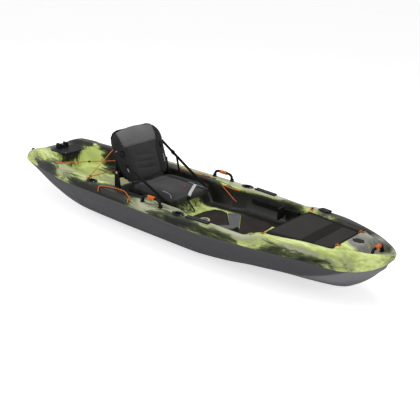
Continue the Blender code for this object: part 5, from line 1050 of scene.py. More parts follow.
def carry_handle(name, label, spot, half_span, rise):
    """Arched bar with an eye at each end and its sleeve; spot is the pivot line's place."""
    crosswise = Matrix.Rotation(math.pi / 2, 4, "Y")
    side = spread([(half_span * along, 0.0, rise * up) for along, up in HANDLE_LEG], 8)
    arch = [Vector((-p.x, 0.0, p.z)) for p in side] + side[::-1]
    parts = [swept(label + "_bar", [spot @ p for p in arch],
                   lambda t: BAR_THIN + (BAR_THICK - BAR_THIN) * smooth(min(t, 1 - t), 0.04, 0.14),
                   rubber, 18)]
    eye = round_rings(EYE_RADIUS, -EYE_WIDTH / 2, EYE_WIDTH / 2, EYE_ROUND)
    for end in (-1, 1):
        lie = spot @ Matrix.Translation((end * half_span, 0, 0)) @ crosswise
        parts.append(ringed(label + "_eye", eye, rubber, 32, lie))
    belongs(merged(label + "_bar", parts, rubber), name, "rubber", name)
    ribs = [(SLEEVE_GROOVE, -SLEEVE_END), (SLEEVE, -SLEEVE_LIP)]
    for k in range(RIB_COUNT):
        at = RIB_PITCH * (k - RIB_COUNT // 2)
        ribs += [(SLEEVE, at - RIB_HALF), (SLEEVE_GROOVE, at), (SLEEVE, at + RIB_HALF)]
    ribs += [(SLEEVE, SLEEVE_LIP), (SLEEVE_GROOVE, SLEEVE_END)]
    made = ringed(label + "_sleeve", [(r, r, z) for r, z in ribs], orange_rubber, 28,
                  spot @ Matrix.Translation((0, 0, rise)) @ crosswise)
    belongs(made, name + "_grip", "orange_rubber", name)


GRAB_X, GRAB_INSET, GRAB_SPAN, GRAB_RISE = -0.033, 0.042, 0.078, 0.034
BOW_GRAB_X, BOW_GRAB_SPAN, BOW_GRAB_RISE = BOW - 0.120, 0.0618, 0.032
for side_name, side in SIDES:
    spot = on_gunwale(GRAB_X, side, GRAB_INSET, TOUCH_GAP + PIN_Z)
    carry_handle("side_handle_" + side_name, "grab_" + side_name, spot, GRAB_SPAN, GRAB_RISE)
    for end in ("aft", "fore"):
        name = "_anchor_" + end + "_" + side_name
        finished("side_handle" + name, "grab" + name, black_nylon, "black_plastic", width=0.0010)
spot = (Matrix.Translation((BOW_GRAB_X, 0, BOW_PAD_Z + TOUCH_GAP + PIN_Z))
        @ Matrix.Rotation(math.pi / 2, 4, "Z"))
carry_handle("bow_handle", "bow_grab", spot, BOW_GRAB_SPAN, BOW_GRAB_RISE)
for side_name, _ in SIDES:
    finished("bow_handle_anchor_" + side_name, "bow_grab_anchor_" + side_name, black_nylon,
             "black_plastic", width=0.0010)

# Seat: a padded pan on a moulded tray, and a back rest that folds on two steel pins. Both
# are foam in a sewn cover of grey polyester: paler panels in the middle, darker sides. Its
# threads are drawn 1.1 mm apart, coarser than the real ones, so that the weave shows.
CLOTH_TONE_AND_SHADE = "skin"


def woven(name, pitch, rise, base, dark, sheen=0.08):
    """Woven cloth: threads cross at a pitch in metres on the UV map, and the skin
    attribute picks the panel, from the pale middle (1) to the dark sides (0); on the
    pan's apron it also carries painted shade."""
    finish, tree, shader = material(name, Roughness=0.86, Specular_IOR_Level=0.12,
                                    Sheen_Weight=sheen, Sheen_Roughness=0.45)
    place = node(tree, "ShaderNodeTexCoord").outputs
    waves = [node(tree, "ShaderNodeTexWave", [("Vector", place["UV"])], wave_type="BANDS",
                  bands_direction=axis, in_Scale=0.314 / pitch, in_Distortion=0.6).outputs["Fac"]
             for axis in ("X", "Y")]
    threads = node(tree, "ShaderNodeMath", enumerate(waves), operation="MULTIPLY")
    worn = node(tree, "ShaderNodeTexNoise", [("Vector", place["Object"])], in_Scale=9.0,
                in_Detail=5.0, in_Roughness=0.6)
    worn = node(tree, "ShaderNodeMapRange", [("Value", worn)], in_1=0.3, in_2=0.7, in_3=0.90,
                in_4=1.08)
    skin = node(tree, "ShaderNodeAttribute", attribute_name=CLOTH_TONE_AND_SHADE)
    tint = node(tree, "ShaderNodeMix", [("Factor", skin.outputs["Fac"])], data_type="RGBA",
                in_6=colour(dark), in_7=colour(base))
    lit = node(tree, "ShaderNodeMapRange", [("Value", threads)], in_3=0.86, in_4=1.06)
    lit = node(tree, "ShaderNodeMath", [(0, lit), (1, worn)], operation="MULTIPLY")
    tint = node(tree, "ShaderNodeVectorMath", [(0, tint.outputs[2]), ("Scale", lit)],
                operation="SCALE")
    bump = node(tree, "ShaderNodeBump", [("Height", threads)], in_Strength=0.6, in_Distance=rise)
    feed(tree, shader, [("Base Color", tint), ("Normal", bump)])
    return finish


seat_cloth = woven("grey_polyester_cloth", pitch=0.0011, rise=0.0004, base="#7b7b7c",
                   dark="#2f2f30")
piping = moulded("pale_grey_piping", "#a3a4a5", "#b4b5b6", roughness=0.50, grain=0.0010,
                 depth=0.0001)
thread = moulded("black_thread", "#1b1b1c", "#262627", roughness=0.70, grain=0.0008,
                 depth=0.0001)


def sheet_grid(along, across):
    """A grid's shares (u, v) in -1..1, its faces, and its rim's points in order."""
    shares = [(2 * i / along - 1, 2 * j / across - 1) for i in range(along + 1)
              for j in range(across + 1)]
    at = np.arange(len(shares)).reshape(along + 1, across + 1).tolist()
    faces = [(at[i][j], at[i + 1][j], at[i + 1][j + 1], at[i][j + 1])
             for i in range(along) for j in range(across)]
    rim = ([at[i][0] for i in range(along)] + at[along][:across]
           + [at[i][across] for i in range(along, 0, -1)] + at[0][:0:-1])
    return shares, faces, rim


def band(near, far):
    """Faces between two closed rings of points."""
    return list(zip(near, far, far[1:] + far[:1], near[1:] + near[:1]))


def laid_flat(mesh, flat):
    """UV map of a cloth in metres: flat gives the (u, v) of a corner."""
    marks = [flat(mesh.vertices[loop.vertex_index].co) for loop in mesh.loops]
    layer = mesh.uv_layers.new(name="UVMap")
    layer.data.foreach_set("uv", np.array(marks, np.float32).ravel())


# Share of the way down a pad's side, how far it is drawn in, and how firmly it is held
PAD_SIDE = ((0.12, -0.0022, 1.0), (0.45, -0.0040, 0.0), (0.78, -0.0015, 0.0), (1.0, 0.001, 1.0),
            (1.0, 0.0075, 1.0))
PAD_BASE = (1.0, 0.0080, 1.0)
SIDE_TONE, BASE_TONE, BASE_SHARE = 0.30, 0.1, 0.95
SKIRT_FROM, SKIRT_FULL = 0.019, 0.012
SWELL_MOST, SWELL_STEPS = 0.006, 16


def swollen(made, held):
    """Lets a pad swell under pressure as cloth, held firmly where held is 1."""
    start = np.array([v.co for v in made.data.vertices])
    group = made.vertex_groups.new(name="seams")
    for k, weight in enumerate(held):
        group.add([k], weight, "REPLACE")
    cloth = made.modifiers.new("cloth", "CLOTH").settings
    cloth.quality = 6
    cloth.use_pressure = True
    cloth.uniform_pressure_force = 4.0
    cloth.effector_weights.gravity = 0.0
    cloth.vertex_group_mass = "seams"
    cloth.pin_stiffness = 1.0
    cloth.tension_stiffness = cloth.compression_stiffness = 12.0
    cloth.bending_stiffness = 0.35
    for step in range(1, SWELL_STEPS + 1):
        scene.frame_set(step)
    mesh = plain(made).data
    move = np.array([v.co for v in mesh.vertices]) - start
    size = np.maximum(np.linalg.norm(move, axis=1), 1e-9)
    move *= np.minimum(1.0, SWELL_MOST / size)[:, None]
    mesh.vertices.foreach_set("co", (start + move).astype(np.float32).ravel())
    scene.frame_set(1)


def padded(name, place, form, cells, skirt=0.0):
    """Stuffed form. `form` gives, for (u, v) in -1..1, the top point, its skin tone and how
    firmly a seam holds it (1 at a seam). The sides follow from its rim, with a skirt that
    hangs below the base along its front."""
    across, along = cells
    shares, top, rim = sheet_grid(along, across)
    points, tones, held = (list(column) for column in zip(*(form(u, v) for u, v in shares)))
    faces = list(top)
    middle = Vector(np.mean([points[k][:2] for k in rim], axis=0))
    foremost = max(points[k][0] for k in rim)
    last = rim
    for share, inset, hold in (*PAD_SIDE, PAD_BASE):
        ring = []
        for k in rim:
            x, y, z = points[k]
            away = (Vector((x, y)) - middle).normalized()
            drop = skirt * smooth(x, foremost - SKIRT_FROM, foremost - SKIRT_FULL)
            low = z - (z + drop) * share if (share, inset, hold) != PAD_BASE else 0.0
            ring.append(len(points))
            points.append((x - away.x * inset, y - away.y * inset, low))
            tones.append(min(SIDE_TONE, tones[k]))
            held.append(hold)
        faces += band(last, ring)
        last = ring
    base = dict(zip(rim, last))
    for k in range(len(shares)):
        if k not in base:
            x, y, _ = points[k]
            base[k] = len(points)
            points.append((middle.x + (x - middle.x) * BASE_SHARE,
                           middle.y + (y - middle.y) * BASE_SHARE, 0.0))
            tones.append(BASE_TONE)
            held.append(1.0)
    faces += [(base[a], base[d], base[c], base[b]) for a, b, c, d in top]
    mesh = bpy.data.meshes.new(name)
    mesh.from_pydata(points, [], faces)
    outward(mesh)
    made = add_object(name, mesh, seat_cloth, 180.0)
    swollen(made, held)
    mesh = made.data
    mesh.attributes.new(CLOTH_TONE_AND_SHADE, "FLOAT", "POINT").data.foreach_set("value", tones)
    laid_flat(mesh, lambda c: (c.x + 0.4 * c.z, c.y + 0.4 * c.z))
    soften = made.modifiers.new("round", "SUBSURF")
    soften.levels = soften.render_levels = 1
    mesh = plain(made).data
    mesh.transform(place)
    mesh.shade_smooth()
    return made


def dent(away, width):
    """Depth share of a seam's valley at a distance from it."""
    return math.exp(-(away / width) ** 2)


TRAY_TOP = 0.2923
PAN_REAR, PAN_FRONT, PAN_HALF = -0.410, -0.017, 0.214
PAN_RIM, PAN_CROWN, PAN_ROLL, PAN_DISH = 0.034, 0.014, 0.007, 0.006
PAN_APRON, PAN_TAIL, PAN_SKIRT = 0.024, 0.008, 0.0195
SEAM_DEPTH, CREASE_DEPTH, LIP_DEPTH = 0.0060, 0.0065, 0.0045
PAD_THINNEST = 0.012
ROLL_WIDTH = 0.05


def pan_seam(x):
    """Distance of the pan's side seams from the middle."""
    return 0.132 + 0.012 * smooth(x, -0.16, -0.03)


def pan_form(u, v):
    """Pan: a dished middle between two raised side rolls, and an apron that drops in front."""
    middle, reach = (PAN_REAR + PAN_FRONT) / 2, (PAN_FRONT - PAN_REAR) / 2
    x = middle + reach * u * math.sqrt(1 - 0.10 * v ** 4)
    y = PAN_HALF * v * math.sqrt(1 - 0.12 * u ** 4)
    away, seam = abs(y), pan_seam(x)
    roll = smooth(away, seam, seam + ROLL_WIDTH)
    z = PAN_RIM + PAN_CROWN * (1 - v ** 4) + PAN_ROLL * roll * (1 - v ** 6)
    z -= PAN_DISH * (1 - smooth(away, 0.0, seam)) * (1 - smooth(x, -0.15, -0.06))
    z -= PAN_APRON * smooth(x, -0.125, -0.018) ** 1.2 * (1 - 0.2 * roll)
    z -= PAN_TAIL * (1 - smooth(x, PAN_REAR - 0.01, PAN_REAR + 0.06))
    held = dent(away - seam, 0.006) * (1.0 if x > -0.36 else 0.4)
    crease = dent(x + 0.338 - 0.03 * abs(v), 0.009) * (1 - smooth(away, seam - 0.03, seam + 0.02))
    lip = dent(x + 0.120 - 0.5 * y * y, 0.006) * (1 - smooth(away, seam - 0.02, seam))
    z -= SEAM_DEPTH * held + CREASE_DEPTH * crease + LIP_DEPTH * lip
    # The apron ahead of the lip seam is toned darker: painted shade on its steeper slope.
    tone = 0.26 - 0.10 * smooth(x, -0.124, -0.116)
    tone *= 1 - smooth(away, seam - 0.002, seam + 0.002)
    edge = 1.0 if max(abs(u), abs(v)) > 0.985 else 0.0
    return (x, y, max(z, PAD_THINNEST)), tone, max(edge, held, crease * 0.8, lip)


pan_place = Matrix.Translation((0, 0, TRAY_TOP + TOUCH_GAP))
pan = padded("seat_pan", pan_place, pan_form, cells=(64, 56), skirt=PAN_SKIRT)
belongs(pan, "seat_cushion", "seat_fabric")

# Seat back: the same cloth over foam, wide and round at the top with a narrower waist, its
# middle panel split by the lumbar seams, on a black moulded back shell.
HINGE = (-0.497, 0.0, 0.420)
BACK_LEAN = math.radians(-25)
BACK_OFF = 0.0122
back_place = Matrix.Translation(HINGE) @ Matrix.Rotation(BACK_LEAN, 4, "Y")
lying = Matrix(((0, 0, 1, 0), (0, -1, 0, 0), (1, 0, 0, 0), (0, 0, 0, 1)))
back_lie = back_place @ Matrix.Translation((BACK_OFF, 0, 0)) @ lying
BACK_LOW, BACK_HIGH = -0.100, 0.294
BACK_WIDTHS = [(-0.100, 0.205), (-0.05, 0.222), (0.0, 0.232), (0.07, 0.236), (0.13, 0.242),
               (0.19, 0.249), (0.294, 0.249)]
SIDE_SEAM = [(-0.100, 0.128), (0.0, 0.132), (0.08, 0.138), (0.14, 0.158), (0.20, 0.178),
             (0.294, 0.185)]
CROSS_SEAM = 0.160
LUMBAR_SEAMS = (0.070, 0.024, -0.026)
BACK_RIM, BACK_CROWN, BACK_ROLL, LUMBAR_RISE, BACK_THINNED = 0.024, 0.016, 0.006, 0.008, 0.012
LUMBAR_DEPTH, CROSS_DEPTH = 0.0050, 0.0018


def back_form(u, v):
    """Back rest in its own plane: x runs up the back, y across, z out of its front face."""
    middle, reach = (BACK_HIGH + BACK_LOW) / 2, (BACK_HIGH - BACK_LOW) / 2
    x = middle + reach * u * math.sqrt(1 - (0.26 if u > 0 else 0.10) * v * v)
    half = read(BACK_WIDTHS, middle + reach * u)
    y = half * v * math.sqrt(1 - (0.36 if u > 0 else 0.16) * u ** 4)
    away, seam = abs(y), read(SIDE_SEAM, x)
    roll = smooth(away, seam, seam + ROLL_WIDTH)
    z = BACK_RIM + BACK_CROWN * (1 - v ** 4) * (1 - u ** 6) ** 0.5
    z += BACK_ROLL * roll * (1 - v ** 6)
    z += LUMBAR_RISE * dent(x - 0.02, 0.08) * (1 - smooth(away, 0.04, seam))
    z -= BACK_THINNED * smooth(x, 0.20, BACK_HIGH)
    held = dent(away - seam, 0.006)
    lines = max(dent(x - place - 0.10 * y, 0.005) for place in LUMBAR_SEAMS)
    lines *= 1 - smooth(away, 0.075, 0.095)
    cross = dent(x - CROSS_SEAM, 0.004) * (1 - smooth(away, seam - 0.02, seam))
    z -= SEAM_DEPTH * held + LUMBAR_DEPTH * lines + CROSS_DEPTH * cross
    tone = 0.12 + 0.80 * smooth(x, CROSS_SEAM - 0.006, CROSS_SEAM + 0.006)
    tone *= 1 - smooth(away, seam - 0.002, seam + 0.002)
    edge = 1.0 if max(abs(u), abs(v)) > 0.985 else 0.0
    return (x, y, max(z, PAD_THINNEST)), tone, max(edge, held, lines, cross * 0.7)


back = padded("seat_back_pad", back_lie, back_form, cells=(60, 72))
belongs(back, "seat_back_cushion", "seat_fabric", "seat_back")

# Seams: twin rows of black stitches along the side seams of both cushions and beside the
# seam that crosses the back.
STITCH_PITCH, THREAD = 0.0052, 0.0006
STITCH_SHARE = 0.68
stitch_tree, seams, stitch_keys = copies_tree("stitches_on_line",
                                              ("Stitch pitch", "Thread radius"))
line = node(stitch_tree, "GeometryNodeMeshToCurve", [("Mesh", seams["Places"])])
line = node(stitch_tree, "GeometryNodeResampleCurve",
            [("Curve", line), ("Length", seams["Stitch pitch"])], mode="LENGTH")
span = node(stitch_tree, "ShaderNodeMath", [(0, seams["Stitch pitch"])], operation="MULTIPLY",
            in_1=STITCH_SHARE)
stitch = node(stitch_tree, "GeometryNodeMeshCylinder",
              [("Radius", seams["Thread radius"]), ("Depth", span)], in_Vertices=6)
turn = node(stitch_tree, "FunctionNodeAlignRotationToVector",
            [("Vector", node(stitch_tree, "GeometryNodeInputTangent"))], axis="Z")
end_tree(stitch_tree, [("Points", line), ("Instance", stitch), ("Rotation", turn)], thread)


def stitched(name, piece, lines, slot, body):
    """A row of stitches along each line, laid on a piece's skin, as one plain mesh."""
    verts, edges = [], []
    bpy.context.view_layer.update()
    for line in lines:
        for k, point in enumerate(line):
            spot, normal = piece.closest_point_on_mesh(Vector(point))[1:3]
            if k:
                edges.append((len(verts) - 1, len(verts)))
            verts.append(spot + normal * THREAD * 0.5)
    sizes = zip(stitch_keys, (STITCH_PITCH, THREAD))
    grown(name, verts, edges, stitch_tree, sizes, slot, body)


SEAM_APART, CROSS_APART = 0.007, 0.006
rows = [(side, away) for side in (-1, 1) for away in (-SEAM_APART, SEAM_APART)]
lines = [[back_lie @ Vector((x, side * (read(SIDE_SEAM, x) + away), 0.045))
          for x in np.linspace(-0.075, 0.250, 40)] for side, away in rows]
lines += [[back_lie @ Vector((CROSS_SEAM + away, y, 0.045)) for y in np.linspace(-0.145, 0.145, 30)]
          for away in (-CROSS_APART, CROSS_APART)]
stitched("seat_back_stitches", back, lines, "seat_fabric", "seat_back")
lines = [[(x, side * (pan_seam(x) + away), 0.40) for x in np.linspace(-0.37, -0.06, 40)]
         for side, away in rows]
stitched("seat_pan_stitches", pan, lines, "seat_fabric", "kayak")

# Piping and the pull tab: pale cords sewn into both front corners of the pan, and a short
# red nylon tab on its apron seam.
PIPING = 0.0022
PIPING_LINE = ((0.28, 0.66), (0.48, 0.665), (0.64, 0.69), (0.74, 0.74), (0.81, 0.80), (0.87, 0.84))
TAB_SHARE, TAB_LIFT = (0.52, 0.20), 0.0040
TAB_SIZE, TAB_ROUND = (0.011, 0.036, 0.0030), 0.0011


def on_pan(u, v, lift):
    """A place above the pan's skin before it swelled, from its shares along and across."""
    return pan_place @ (Vector(pan_form(u, v)[0]) + Vector((0, 0, lift)))


for side_name, side in SIDES:
    arc = [on_pan(u, side * v, PIPING) for u, v in PIPING_LINE]
    line = swept("pan_piping_" + side_name, spread(arc, 6), PIPING, piping, 10)
    belongs(line, None, "seat_fabric")
red_nylon = moulded("red_nylon_tab", "#b02552", "#c2305a", roughness=0.62, grain=0.0010,
                    depth=0.0003)
tab_place = (Matrix.Translation(on_pan(*TAB_SHARE, TAB_LIFT))
             @ Matrix.Rotation(math.radians(28), 4, "Z")
             @ Matrix.Rotation(math.radians(-14), 4, "Y"))
tab = slab("pan_pull_tab", tab_place, TAB_SIZE, TAB_ROUND, red_nylon, segments=2, profile=0.0)
belongs(tab, None, "seat_fabric")

# Seat tray, back shell and hinge pins: black injection-moulded nylon, with the pins' steel
# heads on the outside of the tray's two uprights.
finished("seat_base", "seat_tray", black_nylon, "black_plastic", width=0.0018)
finished("seat_back_frame", "seat_back_shell", black_nylon, "black_plastic", "seat_back",
         width=0.0016)
PIN_RADIUS, PIN_START, PIN_END = 0.004, 0.210, 0.2635
PIN_HEAD, PIN_HEAD_RISE, PIN_ROUND = 0.009, 0.004, 0.0012
for side_name, side in SIDES:
    lie = Matrix.Translation(HINGE) @ Matrix.Rotation(-side * math.pi / 2, 4, "X")
    rings = [(PIN_RADIUS, PIN_RADIUS, height) for height in (PIN_START, PIN_END)]
    rings += round_rings(PIN_HEAD, PIN_END, PIN_END + PIN_HEAD_RISE, PIN_ROUND)
    made = ringed("hinge_pin_" + side_name, rings, steel, 32, lie)
    belongs(made, "seat_hinge_pin_" + side_name, "steel")

# Side rings and reflective bars: black nylon rings sewn to the back's edges where the
# straps pull, with a narrow silver reflective bar below each.
silver_tape = moulded("silver_reflective_tape", "#b5b6b8", "#cfd0d2", roughness=0.34,
                      grain=0.0008, depth=0.0001)
RING_WIRE, TRIM_HALF = 0.0046, 0.0032
RING_MIDDLE, RING_REACH = (0.0505, 0.203, 0.118), (-0.008, 0.016, 0.021)
RING_TAB = ((0.040, 0.238, 0.146), (0.030, 0.246, 0.143))
SILVER_BAR = ((0.0475, 0.196, 0.040), (0.0480, 0.196, 0.010), (0.0465, 0.192, -0.020))
for side_name, side in SIDES:
    ring = []
    for a in bearings(28):
        turned = zip(RING_MIDDLE, RING_REACH, (math.cos(a), math.cos(a), math.sin(a)))
        x, y, z = (middle + reach * share for middle, reach, share in turned)
        ring.append(back_place @ Vector((x, side * y, z)))
    made = swept("back_ring_" + side_name, ring, RING_WIRE, black_nylon, 10, True)
    belongs(made, None, "black_plastic", "seat_back")
    for label, spots in (("tab", RING_TAB), ("bar", SILVER_BAR)):
        line = [back_place @ Vector((x, side * y, z)) for x, y, z in spots]
        made = swept("back_" + label + "_" + side_name, spread(line, 5), TRIM_HALF, silver_tape, 8)
        belongs(made, None, "seat_fabric", "seat_back")

# Pouch: black mesh fabric sewn to the back of the seat, which hangs plumb from it and is
# rounded by what it holds. Its open threads are 3 mm apart.
POUCH_HALF, POUCH_FOOT = 0.199, 0.342
POUCH_MIDDLE = -0.5705
POUCH_REAR, SAG_TOP, SAG_DROP = -0.585, 0.54, 0.23
mesh_cloth = woven("black_mesh_fabric", pitch=0.0030, rise=0.0008, base="#1c1c1e",
                   dark="#131314", sheen=0.1)
# x and z of the pouch's corners seen from the side, from its top along the back rest
POUCH_SIDE = [Vector(corner) for corner in (
    (-0.5707, 0.5780), (-0.5398, 0.5110), (-0.5455, POUCH_FOOT + 0.012), (-0.556, POUCH_FOOT),
    (-0.586, POUCH_FOOT), (-0.5965, POUCH_FOOT + 0.012), (-0.5965, 0.548), (-0.588, 0.568))]
rows = []
for v in np.linspace(-1, 1, 49):
    tuck = (1 - abs(v) ** 8) ** 0.5 if abs(v) < 1 else 0.0
    sag = 0.004 * math.sin(9.0 * v) * (1 - v * v)
    row = []
    for k, corner in enumerate(POUCH_SIDE):
        following = POUCH_SIDE[(k + 1) % len(POUCH_SIDE)]
        for t in np.linspace(0, 1, 9)[:-1]:
            x, z = corner.lerp(following, float(t))
            bulge = x < POUCH_REAR and z < SAG_TOP
            if k:
                x = POUCH_MIDDLE + (x - POUCH_MIDDLE) * (0.35 + 0.65 * tuck)
            if bulge:
                x += 0.003 + sag * (SAG_TOP - z) / SAG_DROP
            row.append((x, POUCH_HALF * float(v), z))
    rows.append(row)
mesh = tube("seat_pouch", rows)
outward(mesh)
laid_flat(mesh, lambda c: (c.y, c.z + c.x))
pouch = add_object("seat_pouch", mesh, mesh_cloth, 60.0)
belongs(pouch, "seat_back_pouch", "black_fabric", "seat_back")

# Seat straps: black polyester webbing from each side of the back to the tray's front ear,
# with a branch to its middle ear, and a ladder-lock slider where the strap doubles back.


def webbing(name, base, pale):
    """Woven webbing: ribs of 1.6 mm run across its length on the UV map."""
    finish, tree, shader = material(name, Roughness=0.62, Specular_IOR_Level=0.2)
    flat = node(tree, "ShaderNodeTexCoord").outputs["UV"]
    ribs = node(tree, "ShaderNodeTexWave", [("Vector", flat)], wave_type="BANDS",
                bands_direction="X", in_Scale=190.0, in_Distortion=0.3).outputs["Fac"]
    two_tone(tree, shader, ribs, base, pale, ribs, 0.5, 0.0004)
    return finish


def strap(name, line, across, width, thick, finish):
    """Webbing along a line, its edges rounded; across gives its width's direction, or a
    function of the share along that does."""
    half, edge = width / 2, thick / 2
    flat = half - edge * 0.6
    section = [(-half, 0.0), (-flat, edge), (flat, edge), (half, 0.0), (flat, -edge), (-flat, -edge)]
    rings, runs, last = [], [], len(line) - 1
    for i, point in enumerate(line):
        along = (line[min(i + 1, last)] - line[max(i - 1, 0)]).normalized()
        wide = Vector(across(i / last) if callable(across) else across)
        wide = (wide - along * wide.dot(along)).normalized()
        normal = along.cross(wide)
        runs.append(runs[-1] + (point - line[i - 1]).length if i else 0.0)
        rings.append([point + wide * a + normal * b for a, b in section])
    mesh = tube(name, rings)
    mapped_along(mesh, runs, [a for a, _ in section + section[:1]])
    outward(mesh)
    return add_object(name, mesh, finish, 40.0)


STRAP_WIDTH, BRANCH_WIDTH, STRAP_THICK = 0.024, 0.020, 0.0028
STRAP_TOP, STRAP_FOOT = (-0.553, 0.2555, 0.560), (-0.050, 0.218, 0.3035)
BRANCH_FOOT = (-0.332, 0.250, 0.2945)
KNOT_SHARE, BRANCH_BLEND = 0.36, 0.56
black_webbing = webbing("black_polyester_webbing", "#141415", "#1f1f21")
silver_webbing = webbing("silver_polyester_webbing", "#b9b7b4", "#d2d0cd")
for side_name, side in SIDES:
    top, foot, ear = (Vector((x, side * y, z)) for x, y, z in (STRAP_TOP, STRAP_FOOT, BRANCH_FOOT))
    knot = top.lerp(foot, KNOT_SHARE)
    main = strap("strap_" + side_name, [top.lerp(foot, k / 24) for k in range(25)], (0.3, 0, 1),
                 STRAP_WIDTH, STRAP_THICK, black_webbing)
    belongs(main, "seat_strap_" + side_name, "webbing", None)
    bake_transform(main)
    branch = strap("strap_branch_" + side_name, [knot.lerp(ear, k / 10) for k in range(11)],
                   (1, 0, 0), BRANCH_WIDTH, STRAP_THICK, black_webbing)
    belongs(branch, None, "webbing", None)
    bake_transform(branch)
    slider = finished("strap_slider_" + side_name, "slider_" + side_name, black_nylon,
                      "black_plastic", None, width=0.0012)
    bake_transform(slider)

# Front strap: silver grab webbing sewn across the pan's front, through a black buckle, and
# a thin black cord that tethers it to the floor.
FRONT_THICK, FRONT_LIFT = 0.0020, 0.0022
PAN_ACROSS, EDGE_ACROSS = Vector((0.87, 0.49, 0.0)), Vector((0.25, 0.97, 0.0))
# x and y on the pan, from the side seam to its front edge, and the points ahead of it
FRONT_LINE = ((-0.100, 0.145), (-0.091, 0.130), (-0.082, 0.115), (-0.073, 0.0975), (-0.064, 0.080),
              (-0.055, 0.0625), (-0.046, 0.045), (-0.040, 0.0315), (-0.034, 0.018), (-0.028, 0.007))
FRONT_END = ((-0.0185, -0.008, 0.324), (-0.0135, -0.017, 0.319), (-0.0115, -0.025, 0.312))


def front_across(t):
    """Direction of the strap's width, which turns as it passes over the edge."""
    return PAN_ACROSS.lerp(EDGE_ACROSS, smooth(t, 0.7, 0.95))


line = [pan.ray_cast(Vector((x, y, 0.6)), Vector((0, 0, -1)))[1] + Vector((0, 0, FRONT_LIFT))
        for x, y in FRONT_LINE] + list(FRONT_END)
made = strap("front_strap", spread(line, 3), front_across, STRAP_WIDTH, FRONT_THICK, silver_webbing)
belongs(made, "seat_front_strap", "silver_webbing")
finished("seat_front_buckle", "front_buckle", black_nylon, "black_plastic", width=0.0016)

# Shock cords: 6 mm latex cores in braided polyester sheaths, orange with dark flecks; the
# braid's two strands cross on the cord's UV map. Nylon hooks and eyes hold them.


def braided(name, base, fleck, pitch):
    """Braid of two leaning strands at a pitch in metres, flecked where both come up."""
    finish, tree, shader = material(name, Roughness=0.68)
    flat = node(tree, "ShaderNodeTexCoord").outputs["UV"]
    strands = []
    for lean in (1, -1):
        turn = node(tree, "ShaderNodeMapping", [("Vector", flat)],
                    in_Scale=(0.314 / pitch, lean * 1.2566, 1.0))
        strand = node(tree, "ShaderNodeTexWave", [("Vector", turn)], wave_type="BANDS",
                      bands_direction="DIAGONAL", in_Scale=1.0)
        strands.append(strand.outputs["Fac"])
    weave = node(tree, "ShaderNodeMath", enumerate(strands), operation="MAXIMUM")
    spots = node(tree, "ShaderNodeMath", enumerate(strands), operation="MULTIPLY")
    spots = node(tree, "ShaderNodeMapRange", [("Value", spots)], in_1=0.55, in_2=0.9, in_4=0.55)
    two_tone(tree, shader, spots, base, fleck, weave, 0.5, 0.0004)
    return finish


orange_braid = braided("orange_shock_cord", "#e0762a", "#8a3d18", pitch=0.004)
black_braid = braided("black_cord_braid", "#161617", "#2a2a2b", pitch=0.003)
CORD, CORD_LIFT = 0.003, 0.004
HOOK_LIFT, HOOK_BASE, HOOK_WAIST = 0.0009, 0.002, 0.0045
# Radius and height of the hook's rings, from its foot up
HOOK_RINGS = ((0.0078, HOOK_LIFT), (0.0085, HOOK_LIFT + 0.0005), (0.0082, HOOK_LIFT + HOOK_BASE),
              (HOOK_WAIST, 0.0042), (HOOK_WAIST, 0.0105), (0.0068, 0.0118), (0.0075, 0.0128),
              (0.0070, 0.0140), (0.0045, 0.0146))


def on_top(x, y, lift=CORD_LIFT):
    """A cord's place above the gunwale's flat top."""
    return (x, y, gunwale_z(x) + lift)


# How far ahead, in from the edge and below the top a cord is as it goes over the gunwale
EDGE_TURN = ((0.0, 0.025, -CORD_LIFT), (0.002, 0.0085, 0.0038), (0.004, 0.0008, 0.0230))
EDGE_END, END_INSET, END_FLARE = 0.005, 0.0018, 0.35


def over_edge(x, side, down):
    """Points that take a cord over the gunwale's outer edge, listed inside to outside."""
    y, top = half_breadth(x), gunwale_z(x)
    low_y = y - END_INSET + END_FLARE * (down - EDGE_TURN[-1][2])
    turn = [(x + ahead, side * (y - inset), top - drop) for ahead, inset, drop in EDGE_TURN]
    return turn + [(x + EDGE_END, side * low_y, top - down)]


def turn_round(x, y, z, radius, start, end, steps):
    """Points on a level arc round a hook, between two bearings in degrees."""
    turn = [math.radians(start + (end - start) * k / steps) for k in range(steps + 1)]
    return [(x + radius * math.cos(a), y + radius * math.sin(a), z) for a in turn]


def cord(name, line, node_name, closed=False, radius=CORD, finish=orange_braid, slot="cord"):
    """A braided cord on a smooth curve through the points of its line."""
    path = spread(line + line[:2] if closed else line, 4)
    path = path[:len(line) * 4] if closed else path
    belongs(swept(name, path, radius, finish, 12, closed), node_name, slot)


def deck_hook(name, node_name, x, y, z):
    """Round-headed nylon post with a waist that the cord goes round."""
    made = ringed(name, [(r, r, height) for r, height in HOOK_RINGS], black_nylon, 28,
                  Matrix.Translation((x, y, z)))
    belongs(made, node_name, "black_plastic")


PORT_HOOK, STARBOARD_HOOK = (-0.660, 0.318), (-0.712, -0.318)
TANK_EYE = (-1.070, 0.290)
BEAD_SHARE, BEAD_RADIUS, BEAD_HALF, BEAD_ROUND = 0.28, 0.0070, 0.009, 0.003
for side_name, (x, y) in (("port", PORT_HOOK), ("starboard", STARBOARD_HOOK)):
    deck_hook("tank_hook_" + side_name, "tank_well_hook_" + side_name, x, y, gunwale_z(x))
wrap = HOOK_WAIST + CORD + 2 * TOUCH_GAP
low = HOOK_LIFT + HOOK_BASE + CORD + 2 * TOUCH_GAP
x, y = TANK_EYE
line = [on_top(x, -y, 2 * TOUCH_GAP), on_top(x, -y, 0.005), on_top(x + 0.008, 0.011 - y, 0.008)]
line += turn_round(*on_top(*PORT_HOOK, low), wrap, 145, -10, 5)
line += turn_round(*on_top(*STARBOARD_HOOK, low + 0.0015), wrap, 0, -215, 6)
line += [on_top(x + 0.008, y - 0.011, 0.019), on_top(x, y, 0.015), on_top(x, y, 2 * TOUCH_GAP)]
cord("tank_cord", line, "tank_well_bungee")
start, end = Vector(line[2]), Vector(line[3])
